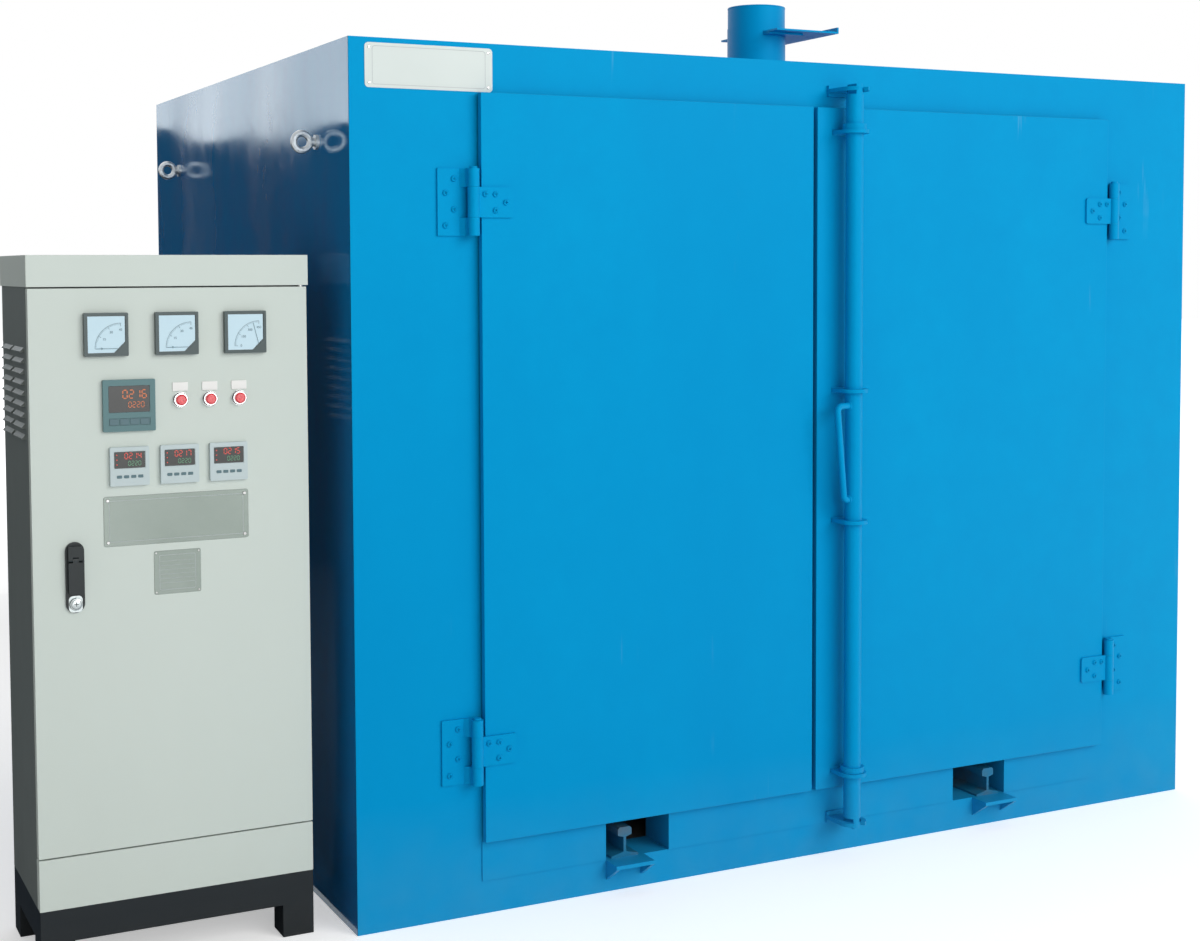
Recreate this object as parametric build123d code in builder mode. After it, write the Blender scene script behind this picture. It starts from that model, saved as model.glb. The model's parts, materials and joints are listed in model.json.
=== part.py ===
from build123d import *
from math import atan, cos, degrees, radians, sin
import os

# An industrial electric oven with two hinged doors, and its free-standing control cabinet.
# The origin is on the floor under the middle of the oven, +Z is up and the doors face -Y.

# Casing
oven_width = 2140
oven_depth = 1600
skin = 2
insulation = 120
front_return = 175
back_return = 148
seam = 0.5
slab_joint = 0.5

# Base frame under the casing
base_height = 66
channel_flange = 60
channel_steel = 5
cross_member = 60

# Door opening in the front frame, with two notches in the sill for the trolley rails
opening_height = 1428
sill_height = 188
lintel_height = 134
jamb_width = 300
jamb_depth = 100
notch_width = 150
notch_shift = 29

# Doors
door_lap = 36
door_gap = 10
gap_offset = -21
pan_depth = 16
seal_thickness = 6
seal_width = 28
seat_gap = 0.3
plug_depth = 80
plug_side_gap = 10
plug_meeting_gap = 10
plug_draft = 12
meeting_seal = 13
meeting_seal_depth = 14
sill_plate_skin = 3
sill_plate_gap = 2

# T hinges
hinge_offset = 18
hinge_drop = 216
hinge_rise = 188
leaf_height = 132
leaf_width = 68
leaf_start = 8
leaf_bend = 22
leaf_root = 3
leaf_lap = 1
strap_height = 60
strap_length = 86
strap_corner = 6
hinge_plate = 5
knuckle_radius = 12
pin_radius = 5
pin_head = 4
pin_rim = 3
pin_clearance = 0.1
knuckle_gap = 0.3

# Locking bar on the right door
bar_radius = 19
bar_inset = 69
bar_standoff = 40
bar_overrun_top = 48
bar_overrun_low = 80
guide_drop = 54
guide_rise = 40
upper_guide = 135
lower_guide = 152
guide_thickness = 8
guide_radius = 31
guide_clearance = 0.5
flat_thickness = 16
flat_length = 22
keeper_seat = 20
keeper_neck = 20
keeper_flare = 10
keeper_throat = 4
keeper_edge = 8
collar_radius = 26
collar_height = 12
grip_radius = 7
grip_fall = 102
grip_rise = 103
grip_reach_low = 34
grip_reach_high = 60
grip_angle = 200
grip_bend = 12
grip_sink = 4

# Chamber fittings
duct_width = 170
slot_length = 150
slot_height = 18
slot_rows = 9
slot_columns = 4
slot_pitch = 150
baffle_setback = 200
inlet_radius = 150
inlet_lip = 30
guard_bar = 6
guard_plate = 3
guard_rings = 4

# Trolley rails
rail_gauge = 960
rail_height = 63.5
rail_base = 63.5
rail_head = 32
rail_head_depth = 17
rail_web = 6
rail_foot = 8
rail_foot_edge = 4
rail_fillet = 3
rail_head_chamfer = 4
shelf_width = 90
shelf_reach = 50
shelf_thickness = 8
shelf_web = 34

# Heaters in the side ducts
heater_tubes = 5
heater_pitch = 200
heater_low = 380
heater_length = 980
heater_bend = 35
heater_tube = 8
tube_sides = 8
heater_plate_width = 120
heater_plate = 4
rack_setback = 60
stud_radius = 4
stud_reach = 35
heater_window = 60
terminal_cover_width = 170
terminal_cover_depth = 70
cover_corner = 5
cover_margin = 30
plate_margin = 20

# Circulation fan behind the rear baffle
fan_height = 900
shaft_radius = 19
impeller_radius = 210
impeller_width = 110
impeller_eye = 130
impeller_plate = 4
inlet_gap = 6
blade_inset = 5
blade_angle = 28
hub_reach = 50
hub_length = 70
washer_thickness = 14
washer_rim = 9
blade_count = 10
blade_thickness = 3
blade_bow = 26
hub_radius = 38
seal_bore = 21
seal_radius = 75
cooling_radius = 110
cooling_gap = 30
cooling_ribs = 8
cooling_rim = 20
rib_height = 18
shaft_engagement = 60
seal_plate = 8
stand_depth = 90
stand_half = 150
stand_post = 125
stand_plate = 6
stand_corner = 20
stand_tube = 14
stand_clearance = 16
motor_radius = 105
motor_length = 280
flange_rim = 20
flange_thickness = 12
cowl_length = 70
cowl_rim = 4
cowl_corner = 14
motor_box_width = 110
motor_box_start = 60
motor_box_length = 120
motor_box_rise = 55
motor_fins = 18
fin_depth = 12
fin_root = 4
fin_thickness = 5

# Exhaust pipe and its slide damper
pipe_radius = 66.5
pipe_wall = 3
pipe_setback = 256
pipe_top = 150
spigot_length = 48
spigot_step = 1
collar_width = 34
damper_height = 86
damper_plate = 4
damper_length = 165
damper_width = 245
damper_left = -21
damper_lip = 14
damper_slack = 1
ledge_inset = 1
ledge_width = 24
ledge_length = 90

# Small fittings of the casing
probe_radius = 5
probe_depth = 320
probe_flange = 26
probe_flange_thickness = 6
probe_neck = 9
probe_neck_height = 24
probe_head = 24
probe_head_height = 36
probe_cone = 4
probe_dome = 6
probe_x = 300
probe_y = 250
eye_drop = 190
eye_front = 197
eye_back = 255
eye_ring = 17
eye_wire = 7
eye_sides = 10
eye_stem = 9
eye_collar = 15
eye_collar_height = 6
eye_lift = 8
inlet_pipe = 50
inlet_stub = 60
inlet_collar = 22
inlet_collar_thickness = 3
air_inlet_x = 520
air_inlet_z = 420
plate_width = 266
plate_height = 86
plate_margin_x = 32
plate_margin_z = 10
plate_thickness = 1.5
plate_corner = 8

# Control cabinet
cabinet_width = 520
cabinet_depth = 300
cabinet_height = 1333
cabinet_gap = 70
cabinet_setback = 60
cabinet_skin = 2
cabinet_base = 126
beam_height = 62
foot_width = 62
kick_height = 96
cap_height = 58
cap_overhang = 3
cabinet_door_depth = 20
cabinet_seal = 4
door_margin = 3
frame_flange = 25
pivot_inset = 8
pivot_radius = 3
pivot_length = 12
louvre_rows = 9
louvre_pitch = 20
louvre_length = 100
louvre_height = 9
louvre_depth = 7
louvre_top = 1164
louvre_lip = 2
louvre_sheet = 1.5
louvre_spread = 122
return_width = 27
seal_inset = 14

# Instruments on the cabinet door
meter_size = 80
meter_pitch = 130
meter_row = 1187
meter_shift = 7
meter_depth = 11
controller_size = 96
controller_x = -83
controller_row = 1055
lamp_radius = 14.5
lamp_pitch = 56
lamp_row = 1062
lamp_shift = 69
zone_size = 72
zone_pitch = 93
zone_row = 942
zone_shift = 9
bezel_depth = 8
can_margin = 5
can_depth = 62
meter_can_depth = 40
cutout_slack = 0.5
bezel_corner = 2
bezel_rim = 5
bezel_recess = 1.5
dial_corner = 30
controller_window = 76
controller_window_height = 50
controller_window_rise = 12
controller_keys = 14
controller_keys_drop = 30
zone_window = 58
zone_window_height = 32
zone_window_rise = 12
lamp_margin = 3.5
lamp_can_depth = 45
lamp_flange = 3
lamp_ring = 8
lamp_rim = 2
lens_radius = 10.5
lens_seat = 2
lens_height = 8
lens_chamfer = 2.5

# Swing handle of the cabinet
handle_x = -186
handle_row = 742
handle_width = 34
handle_height = 131
escutcheon = 4
lever_thickness = 9
lever_length = 76
lever_width = 26
spindle_radius = 5
spindle_drop = 20
tongue_length = 62
tongue_width = 18
tongue_thickness = 4
tongue_gap = 0.5
flip_drop = 12
flip_pin = 2
lug_width = 10
lever_corner = 6
lock_rise = 17
lock_radius = 9
lock_height = 8

# Devices inside the cabinet
back_plate_margin = 40
back_plate_standoff = 25
back_plate = 3
spacer_inset = 70
spacer_radius = 8
breaker_row = 1080
breaker_width = 105
breaker_height = 160
breaker_depth = 70
breaker_nose = 15
toggle_width = 16
toggle_height = 12
toggle_reach = 14
toggle_rise = 12
gear_rail_length = 400
gear_rail_height = 35
gear_rail_depth = 7.5
contactor_row = 820
contactor_pitch = 95
contactor_count = 4
contactor_width = 58
contactor_height = 86
contactor_depth = 80
contactor_nose = 18
terminal_row = 420
terminal_pitch = 10.5
terminal_count = 30
terminal_width = 10
terminal_height = 52
terminal_depth = 42

# Planes and edges that the pieces share
front = -oven_depth / 2
back = oven_depth / 2
side = oven_width / 2
floor = base_height + skin
head = sill_height + opening_height
oven_height = head + lintel_height
opening_half = side - jamb_width
liner_half = side - skin - insulation
liner_back = back - skin - insulation
liner_front = front + jamb_depth
ceiling = oven_height - skin - insulation
duct_half = liner_half - skin - duct_width
baffle_y = liner_back - skin - baffle_setback
notch_centre = rail_gauge / 2 - notch_shift
pan_back = front - seal_thickness - seat_gap
pan_front = pan_back - pan_depth
door_low = sill_height - door_lap
door_high = head + door_lap
door_half = opening_half + door_lap
left_meeting = gap_offset - door_gap / 2
right_meeting = gap_offset + door_gap / 2
hinge_x = door_half + hinge_offset
hinge_y = pan_front - hinge_plate / 2
hinge_rows = (door_high - hinge_drop, door_low + hinge_rise)
bar_x = right_meeting + bar_inset
bar_y = pan_front - bar_standoff
bar_low = door_low - bar_overrun_low
bar_high = door_high + bar_overrun_top
keeper_rows = (bar_low + flat_length / 2, bar_high - flat_length / 2)
door_middle = (door_low + door_high) / 2
guide_rows = (
    door_high - guide_drop,
    door_middle + upper_guide,
    door_middle - lower_guide,
    door_low + guide_rise,
)
grip_low = door_middle - grip_fall
grip_high = door_middle + grip_rise
pipe_y = front + pipe_setback
damper_z = oven_height + damper_height
cabinet_right = -side - cabinet_gap
cabinet_left = cabinet_right - cabinet_width
cabinet_x = (cabinet_left + cabinet_right) / 2
cabinet_front = front + cabinet_setback
shell_front = cabinet_front + cabinet_door_depth + cabinet_seal
cabinet_back = cabinet_front + cabinet_depth
kick_top = cabinet_base + kick_height
cap_low = cabinet_height - cap_height
cabinet_door_low = kick_top + door_margin
cabinet_door_high = cap_low - door_margin


# A sketch plane that stands upright at depth y. On it a sketch's axes are X and Z,
# and a negative extrusion runs towards the back.
def upright(y):
    return Plane.XZ.offset(-y)


# A rectangle from its two corners.
def span(a, b, c, d, mode=Mode.ADD):
    with Locations(((a + b) / 2, (c + d) / 2)):
        Rectangle(abs(b - a), abs(d - c), mode=mode)


# A straight-sided block between six faces.
def block(x0, x1, y0, y1, z0, z1, mode=Mode.ADD):
    with Locations(((x0 + x1) / 2, (y0 + y1) / 2, (z0 + z1) / 2)):
        Box(abs(x1 - x0), abs(y1 - y0), abs(z1 - z0), mode=mode)


# The outline of the door opening and its rail notches, grown outwards by an amount.
def opening_outline(grow=0, mode=Mode.ADD):
    span(-opening_half - grow, opening_half + grow, sill_height - grow, head + grow, mode)
    for hand in (-1, 1):
        x = hand * notch_centre
        reach = notch_width / 2 + grow
        span(x - reach, x + reach, floor - grow, sill_height, mode)


def save(piece, name):
    piece.part.label = name
    export_step(piece.part, f"parts/{name}.step")


os.makedirs("parts", exist_ok=True)

# Base frame: a channel ring that opens inwards, with box cross members under the floor
ring_x = side - skin
ring_y = back - skin
with BuildPart() as base_frame:
    with BuildSketch():
        Rectangle(2 * ring_x, 2 * ring_y)
        Rectangle(2 * (ring_x - channel_flange), 2 * (ring_y - channel_flange), mode=Mode.SUBTRACT)
    extrude(amount=base_height)
    with BuildSketch(Plane.XY.offset(channel_steel)):
        Rectangle(2 * (ring_x - channel_steel), 2 * (ring_y - channel_steel))
    extrude(amount=base_height - 2 * channel_steel, mode=Mode.SUBTRACT)
    for x in (-rail_gauge / 2, 0, rail_gauge / 2):
        with BuildSketch(upright(-ring_y + channel_steel)):
            with Locations((x, base_height / 2)):
                Rectangle(cross_member, base_height)
                tube_bore = (cross_member - 2 * channel_steel, base_height - 2 * channel_steel)
                Rectangle(*tube_bore, mode=Mode.SUBTRACT)
        extrude(amount=-2 * (ring_y - channel_steel))
save(base_frame, "base_frame")

# Front frame: the face sheet, a sleeve through the wall and the folded sides and top
with BuildPart() as front_frame:
    with BuildSketch(upright(front)):
        span(-side, side, 0, oven_height)
        opening_outline(0, Mode.SUBTRACT)
    extrude(amount=-skin)
    with BuildSketch(upright(front)):
        opening_outline(skin)
        opening_outline(0, Mode.SUBTRACT)
    extrude(amount=-jamb_depth)
    with BuildSketch(upright(front)):
        span(-side, side, 0, oven_height)
        span(-side + skin, side - skin, 0, oven_height - skin, Mode.SUBTRACT)
    extrude(amount=-front_return)
save(front_frame, "front_frame")

# Sill plate under the doors, open at the rail notches
with BuildPart() as sill_plate:
    with BuildSketch(upright(front)):
        span(-door_half, door_half, floor, door_low - sill_plate_gap)
        opening_outline(0, Mode.SUBTRACT)
    extrude(amount=sill_plate_skin)
save(sill_plate, "sill_plate")

# Side sheets between the front and back sections
for hand, name in ((-1, "side_panel_left"), (1, "side_panel_right")):
    with BuildPart() as side_panel:
        block(
            hand * (side - skin),
            hand * side,
            front + front_return + seam,
            back - back_return - seam,
            0,
            oven_height,
        )
    save(side_panel, name)

# Roof sheet with holes for the exhaust pipe and the temperature probe
with BuildPart() as roof_panel:
    with BuildSketch(Plane.XY.offset(oven_height - skin)):
        span(-side + skin, side - skin, front + front_return + seam, back - back_return - seam)
        with Locations((0, pipe_y)):
            Circle(pipe_radius + seat_gap, mode=Mode.SUBTRACT)
        with Locations((probe_x, probe_y)):
            Circle(probe_radius + seat_gap, mode=Mode.SUBTRACT)
    extrude(amount=skin)
save(roof_panel, "roof_panel")

# Windows through the back wall for the heater terminals
heater_x = duct_half + skin + duct_width / 2
heater_top = heater_low + heater_pitch * (heater_tubes - 1)
window_low = heater_low - heater_bend - 40
window_high = heater_top + heater_bend + 40


def heater_windows(mode=Mode.SUBTRACT, grow=0):
    for hand in (-1, 1):
        x = hand * heater_x
        reach = heater_window / 2 + grow
        span(x - reach, x + reach, window_low - grow, window_high + grow, mode)


# Back panel: sheet with folded sides and top, pierced for the shaft, the heaters and fresh air
with BuildPart() as back_panel:
    with BuildSketch(upright(back - skin)):
        span(-side, side, 0, oven_height)
        heater_windows()
        with Locations((0, fan_height)):
            Circle(seal_bore, mode=Mode.SUBTRACT)
        with Locations((air_inlet_x, air_inlet_z)):
            Circle(inlet_pipe + seat_gap, mode=Mode.SUBTRACT)
    extrude(amount=-skin)
    with BuildSketch(upright(back - back_return)):
        span(-side, side, 0, oven_height)
        span(-side + skin, side - skin, 0, oven_height - skin, Mode.SUBTRACT)
    extrude(amount=-back_return)
save(back_panel, "back_panel")

# Mineral wool slabs between the casing and the lining, a narrow joint between any two
wool_top = oven_height - skin
wool_half = side - skin
with BuildPart() as wall_insulation:
    for hand in (-1, 1):
        block(
            hand * liner_half,
            hand * wool_half,
            liner_front + slab_joint,
            back - skin,
            base_height,
            ceiling - slab_joint,
        )
    with BuildSketch(Plane.XY.offset(ceiling)):
        span(-wool_half, wool_half, liner_front + slab_joint, back - skin)
        with Locations((0, pipe_y)):
            Circle(pipe_radius + seat_gap, mode=Mode.SUBTRACT)
        with Locations((probe_x, probe_y)):
            Circle(probe_radius + seat_gap, mode=Mode.SUBTRACT)
    extrude(amount=insulation)
    with BuildSketch(upright(liner_back)):
        span(-liner_half + slab_joint, liner_half - slab_joint, base_height, ceiling - slab_joint)
        heater_windows()
        with Locations((0, fan_height)):
            Circle(seal_bore, mode=Mode.SUBTRACT)
        with Locations((air_inlet_x, air_inlet_z)):
            Circle(inlet_pipe + seat_gap, mode=Mode.SUBTRACT)
    extrude(amount=-insulation)
    with BuildSketch(upright(front + skin)):
        span(-wool_half, wool_half, base_height, wool_top)
        opening_outline(skin, Mode.SUBTRACT)
    extrude(amount=-(jamb_depth - skin))
save(wall_insulation, "wall_insulation")

# Chamber lining: a closed sheet box, open only at the doors and where something passes through
with BuildPart() as chamber_liner:
    block(-liner_half, liner_half, liner_front, liner_back, base_height, ceiling)
    block(
        -liner_half + skin,
        liner_half - skin,
        liner_front + skin,
        liner_back - skin,
        floor,
        ceiling - skin,
        Mode.SUBTRACT,
    )
    with BuildSketch(upright(liner_front)):
        opening_outline(0)
    extrude(amount=-skin, mode=Mode.SUBTRACT)
    with BuildSketch(upright(liner_back - skin)):
        heater_windows(Mode.ADD)
        with Locations((0, fan_height)):
            Circle(seal_bore)
        with Locations((air_inlet_x, air_inlet_z)):
            Circle(inlet_pipe + seat_gap)
    extrude(amount=-skin, mode=Mode.SUBTRACT)
    with BuildSketch(Plane.XY.offset(ceiling - skin)):
        with Locations((0, pipe_y)):
            Circle(pipe_radius + seat_gap)
        with Locations((probe_x, probe_y)):
            Circle(probe_radius + seat_gap)
    extrude(amount=skin, mode=Mode.SUBTRACT)
save(chamber_liner, "chamber_liner")

# Slotted air duct walls
duct_length = baffle_y - liner_front - skin
duct_mid_y = (liner_front + skin + baffle_y) / 2
duct_mid_z = (floor + ceiling - skin) / 2
with BuildPart() as duct_walls:
    for hand in (-1, 1):
        with BuildSketch(Plane.YZ.offset(hand * duct_half)):
            with Locations((duct_mid_y, duct_mid_z)):
                Rectangle(duct_length, ceiling - skin - floor)
                with GridLocations(
                    duct_length / slot_columns, slot_pitch, slot_columns, slot_rows
                ):
                    Rectangle(slot_length, slot_height, mode=Mode.SUBTRACT)
        extrude(amount=hand * skin)
save(duct_walls, "duct_walls")

# Rear baffle with a rolled inlet ring in front of the fan
with BuildPart() as rear_baffle:
    with BuildSketch(upright(baffle_y)):
        span(-duct_half - skin, duct_half + skin, floor, ceiling - skin)
        with Locations((0, fan_height)):
            Circle(inlet_radius, mode=Mode.SUBTRACT)
    extrude(amount=-skin)
    with BuildSketch(upright(baffle_y + skin)):
        with Locations((0, fan_height)):
            Circle(inlet_radius + skin)
            Circle(inlet_radius, mode=Mode.SUBTRACT)
    extrude(amount=-(inlet_lip - skin))
save(rear_baffle, "rear_baffle")

# Pressed guard over the fan inlet
guard_step = inlet_radius / guard_rings
with BuildPart() as fan_guard:
    with BuildSketch(upright(baffle_y)):
        with Locations((0, fan_height)):
            for ring in range(1, guard_rings + 1):
                ring_radius = ring * guard_step + guard_bar
                Circle(ring_radius)
                Circle(ring_radius - guard_bar, mode=Mode.SUBTRACT)
                for inner in range(1, ring):
                    inner_radius = inner * guard_step + guard_bar
                    Circle(inner_radius)
                    Circle(inner_radius - guard_bar, mode=Mode.SUBTRACT)
            with PolarLocations(inlet_radius / 2, 6):
                Rectangle(inlet_radius + 3 * guard_bar, guard_bar)
    extrude(amount=guard_plate)
save(fan_guard, "fan_guard")

# Rails: a light crane-rail section that runs from the sill notch to the baffle
rail_top = floor + rail_height
under_head = rail_top - rail_head_depth
rail_half = (
    (0, floor),
    (rail_base / 2, floor),
    (rail_base / 2, floor + rail_foot_edge),
    (rail_web / 2, floor + rail_foot + rail_fillet),
    (rail_web / 2, under_head - rail_head_chamfer),
    (rail_head / 2, under_head),
    (rail_head / 2, rail_top - rail_head_chamfer),
    (rail_head / 2 - rail_head_chamfer, rail_top),
    (0, rail_top),
)
with BuildPart() as rails:
    with BuildSketch(upright(front)):
        with Locations((-rail_gauge / 2, 0), (rail_gauge / 2, 0)):
            Polygon(*rail_half, align=None)
            Polygon(*[(-x, z) for x, z in rail_half], align=None)
    extrude(amount=-(baffle_y - front))
save(rails, "rails")

# Shelves in front of the notches, where loose rails are set down
with BuildPart() as rail_shelves:
    for hand in (-1, 1):
        x = hand * rail_gauge / 2
        block(
            x - shelf_width / 2,
            x + shelf_width / 2,
            front - shelf_reach,
            front,
            floor - shelf_thickness,
            floor,
        )
        for web_x in (x - shelf_width / 2, x + shelf_width / 2 - shelf_thickness):
            with BuildSketch(Plane.YZ.offset(web_x)):
                with BuildLine():
                    Polyline(
                        (front, floor - shelf_thickness),
                        (front - shelf_reach, floor - shelf_thickness),
                        (front, floor - shelf_thickness - shelf_web),
                        close=True,
                    )
                make_face()
            extrude(amount=shelf_thickness)
save(rail_shelves, "rail_shelves")

# Heater banks: U tubes on a mounting plate, with a rack that carries their front ends
plate_y = liner_back - skin - heater_plate
bend_y = plate_y - heater_length
rack_y = bend_y + rack_setback
with BuildPart() as heater_banks:
    for hand in (-1, 1):
        x = hand * heater_x
        with BuildSketch(upright(plate_y)):
            reach = heater_plate_width / 2
            span(x - reach, x + reach, window_low - plate_margin, window_high + plate_margin)
        extrude(amount=-heater_plate)
        for row in range(heater_tubes):
            z = heater_low + row * heater_pitch
            with BuildLine() as tube_path:
                Line((x, plate_y, z - heater_bend), (x, bend_y, z - heater_bend))
                ThreePointArc(
                    (x, bend_y, z - heater_bend),
                    (x, bend_y - heater_bend, z),
                    (x, bend_y, z + heater_bend),
                )
                Line((x, bend_y, z + heater_bend), (x, plate_y, z + heater_bend))
            with BuildSketch(Plane(origin=(x, plate_y, z - heater_bend), z_dir=(0, -1, 0))):
                RegularPolygon(heater_tube, tube_sides)
            sweep(path=tube_path.wire())
            with BuildSketch(upright(plate_y + heater_plate)):
                with Locations((x, z - heater_bend), (x, z + heater_bend)):
                    Circle(stud_radius)
            extrude(amount=-(insulation + 2 * skin + stud_reach))
save(heater_banks, "heater_banks")

with BuildPart() as heater_racks:
    with BuildSketch(upright(rack_y)):
        for hand in (-1, 1):
            x = hand * heater_x
            span(x - heater_window / 2, x + heater_window / 2, floor, ceiling - skin)
            for row in range(heater_tubes):
                z = heater_low + row * heater_pitch
                with Locations((x, z - heater_bend), (x, z + heater_bend)):
                    Circle(heater_tube + seat_gap, mode=Mode.SUBTRACT)
    extrude(amount=-heater_plate)
save(heater_racks, "heater_racks")

# Sheet covers over the heater terminals on the back
reach = terminal_cover_width / 2
cover_low = window_low - cover_margin
cover_high = window_high + cover_margin
with BuildPart() as terminal_covers:
    for hand in (-1, 1):
        x = hand * heater_x
        block(
            x - reach,
            x + reach,
            back,
            back + terminal_cover_depth,
            cover_low,
            cover_high,
        )
    fillet(edges().filter_by(Axis.Z).group_by(Axis.Y)[-1], radius=cover_corner)
    for hand in (-1, 1):
        x = hand * heater_x
        block(
            x - reach + skin,
            x + reach - skin,
            back,
            back + terminal_cover_depth - skin,
            cover_low + skin,
            cover_high - skin,
            Mode.SUBTRACT,
        )
save(terminal_covers, "terminal_covers")

# Impeller: ring plate, back plate and backward-curved blades on a hub
impeller_front = baffle_y + inlet_lip + inlet_gap
impeller_back = impeller_front + impeller_width
blade_root = impeller_eye + blade_inset
blade_tip = impeller_radius - blade_inset
hub_front = impeller_back - hub_reach
blade_lean = radians(blade_angle)
with BuildSketch() as blade_profile:
    with BuildLine():
        ThreePointArc(
            (blade_root, 0),
            ((blade_root + blade_tip) / 2, -blade_bow),
            (blade_tip * cos(blade_lean), -blade_tip * sin(blade_lean)),
        )
    trace(line_width=blade_thickness)
with BuildPart() as impeller:
    with BuildSketch(upright(impeller_front)):
        with Locations((0, fan_height)):
            Circle(impeller_radius)
            Circle(impeller_eye, mode=Mode.SUBTRACT)
    extrude(amount=-impeller_plate)
    with BuildSketch(upright(impeller_front + impeller_plate)):
        with Locations((0, fan_height)):
            with PolarLocations(0, blade_count):
                add(blade_profile.sketch)
    extrude(amount=-(impeller_width - 2 * impeller_plate))
    with BuildSketch(upright(impeller_back - impeller_plate)):
        with Locations((0, fan_height)):
            Circle(impeller_radius)
    extrude(amount=-impeller_plate)
    with BuildSketch(upright(hub_front)):
        with Locations((0, fan_height)):
            Circle(hub_radius)
    extrude(amount=-hub_length)
    with BuildSketch(upright(impeller_front)):
        with Locations((0, fan_height)):
            Circle(shaft_radius + pin_clearance)
    extrude(amount=-(impeller_width + hub_length), mode=Mode.SUBTRACT)
save(impeller, "impeller")

# Fan shaft with its end washer and the cooling disc outside the wall
motor_face = back + stand_depth
shaft_start = hub_front - washer_thickness
shaft_tip = motor_face + shaft_engagement
with BuildPart() as fan_shaft:
    with BuildSketch(upright(shaft_start)):
        with Locations((0, fan_height)):
            Circle(shaft_radius)
    extrude(amount=-(shaft_tip - shaft_start))
    with BuildSketch(upright(shaft_start)):
        with Locations((0, fan_height)):
            Circle(shaft_radius + washer_rim)
    extrude(amount=-washer_thickness)
    with BuildSketch(upright(back + cooling_gap)):
        with Locations((0, fan_height)):
            Circle(cooling_radius)
    extrude(amount=-impeller_plate)
    with BuildSketch(upright(back + cooling_gap + impeller_plate)):
        with Locations((0, fan_height)):
            with PolarLocations((cooling_radius + shaft_radius) / 2, cooling_ribs):
                Rectangle(cooling_radius - shaft_radius - cooling_rim, blade_thickness)
    extrude(amount=-rib_height)
save(fan_shaft, "fan_shaft")

# Motor stand: two plates on four spacer tubes, and the seal plate round the shaft
with BuildPart() as motor_stand:
    for y, bore in (
        (back, seal_radius + stand_clearance),
        (motor_face - stand_plate, shaft_radius + stand_clearance),
    ):
        with BuildSketch(upright(y)):
            with Locations((0, fan_height)):
                RectangleRounded(2 * stand_half, 2 * stand_half, stand_corner)
                Circle(bore, mode=Mode.SUBTRACT)
        extrude(amount=-stand_plate)
    with BuildSketch(upright(back)):
        with Locations((0, fan_height)):
            with GridLocations(2 * stand_post, 2 * stand_post, 2, 2):
                Circle(stand_tube)
    extrude(amount=-stand_depth)
    with BuildSketch(upright(back)):
        with Locations((0, fan_height)):
            Circle(seal_radius)
            Circle(shaft_radius + seat_gap, mode=Mode.SUBTRACT)
    extrude(amount=-seal_plate)
save(motor_stand, "motor_stand")

# Motor: finned housing with a flange, a fan cowl and a terminal box on top
with BuildPart() as fan_motor:
    with BuildSketch(upright(motor_face)):
        with Locations((0, fan_height)):
            Circle(motor_radius + flange_rim)
    extrude(amount=-flange_thickness)
    with BuildSketch(upright(motor_face + flange_thickness)):
        with Locations((0, fan_height)):
            Circle(motor_radius - fin_depth)
            with PolarLocations(motor_radius - fin_depth / 2 - fin_root / 2, motor_fins):
                Rectangle(fin_depth + fin_root, fin_thickness)
    extrude(amount=-(motor_length - flange_thickness))
    with BuildSketch(upright(motor_face + motor_length - cowl_length)):
        with Locations((0, fan_height)):
            Circle(motor_radius + cowl_rim)
    extrude(amount=-cowl_length)
    fillet(faces().sort_by(Axis.Y)[-1].edges(), radius=cowl_corner)
    block(
        -motor_box_width / 2,
        motor_box_width / 2,
        motor_face + motor_box_start,
        motor_face + motor_box_start + motor_box_length,
        fan_height + motor_radius - 2 * fin_depth,
        fan_height + motor_radius + motor_box_rise,
    )
    with BuildSketch(upright(motor_face)):
        with Locations((0, fan_height)):
            Circle(shaft_radius + pin_clearance)
    extrude(amount=-(shaft_engagement + seat_gap), mode=Mode.SUBTRACT)
save(fan_motor, "fan_motor")

# Exhaust pipe through the roof, slotted from its right side for the damper, with a slightly
# narrower end that takes the sleeve of a duct
ledge_top = damper_z - seat_gap
with BuildPart() as exhaust_pipe:
    with BuildSketch(Plane.XY.offset(ceiling - skin)):
        with Locations((0, pipe_y)):
            Circle(pipe_radius)
    extrude(amount=oven_height + pipe_top - ceiling + skin)
    with BuildSketch(Plane.XY.offset(oven_height + pipe_top)):
        with Locations((0, pipe_y)):
            Circle(pipe_radius)
            Circle(pipe_radius - spigot_step, mode=Mode.SUBTRACT)
    extrude(amount=-spigot_length, mode=Mode.SUBTRACT)
    with BuildSketch(Plane.XY.offset(oven_height)):
        with Locations((0, pipe_y)):
            Circle(pipe_radius + collar_width)
    extrude(amount=pipe_wall)
    with BuildSketch(Plane.XY.offset(ledge_top - damper_plate)):
        ledge_y = pipe_radius + ledge_width
        span(damper_left, damper_left + ledge_length, pipe_y - ledge_y, pipe_y + ledge_y)
        span(
            pipe_radius + ledge_inset,
            ledge_length,
            pipe_y - pipe_radius,
            pipe_y + pipe_radius,
            Mode.SUBTRACT,
        )
    extrude(amount=damper_plate)
    with BuildSketch(Plane.XY.offset(ceiling - skin)):
        with Locations((0, pipe_y)):
            Circle(pipe_radius - pipe_wall)
    extrude(amount=oven_height + pipe_top - ceiling + skin, mode=Mode.SUBTRACT)
    block(
        damper_left - seat_gap,
        pipe_radius + collar_width,
        pipe_y - damper_width,
        pipe_y + damper_width,
        ledge_top,
        damper_z + damper_plate + damper_slack,
        Mode.SUBTRACT,
    )
save(exhaust_pipe, "exhaust_pipe")

# Damper plate with a turned-up grip lip
with BuildPart() as damper_blade:
    with BuildSketch(Plane.XZ.offset(-pipe_y - damper_width / 2)):
        right = damper_left + damper_length
        span(damper_left, right, damper_z, damper_z + damper_plate)
        span(right - damper_plate, right, damper_z, damper_z + damper_lip)
    extrude(amount=damper_width)
save(damper_blade, "damper_blade")

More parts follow.
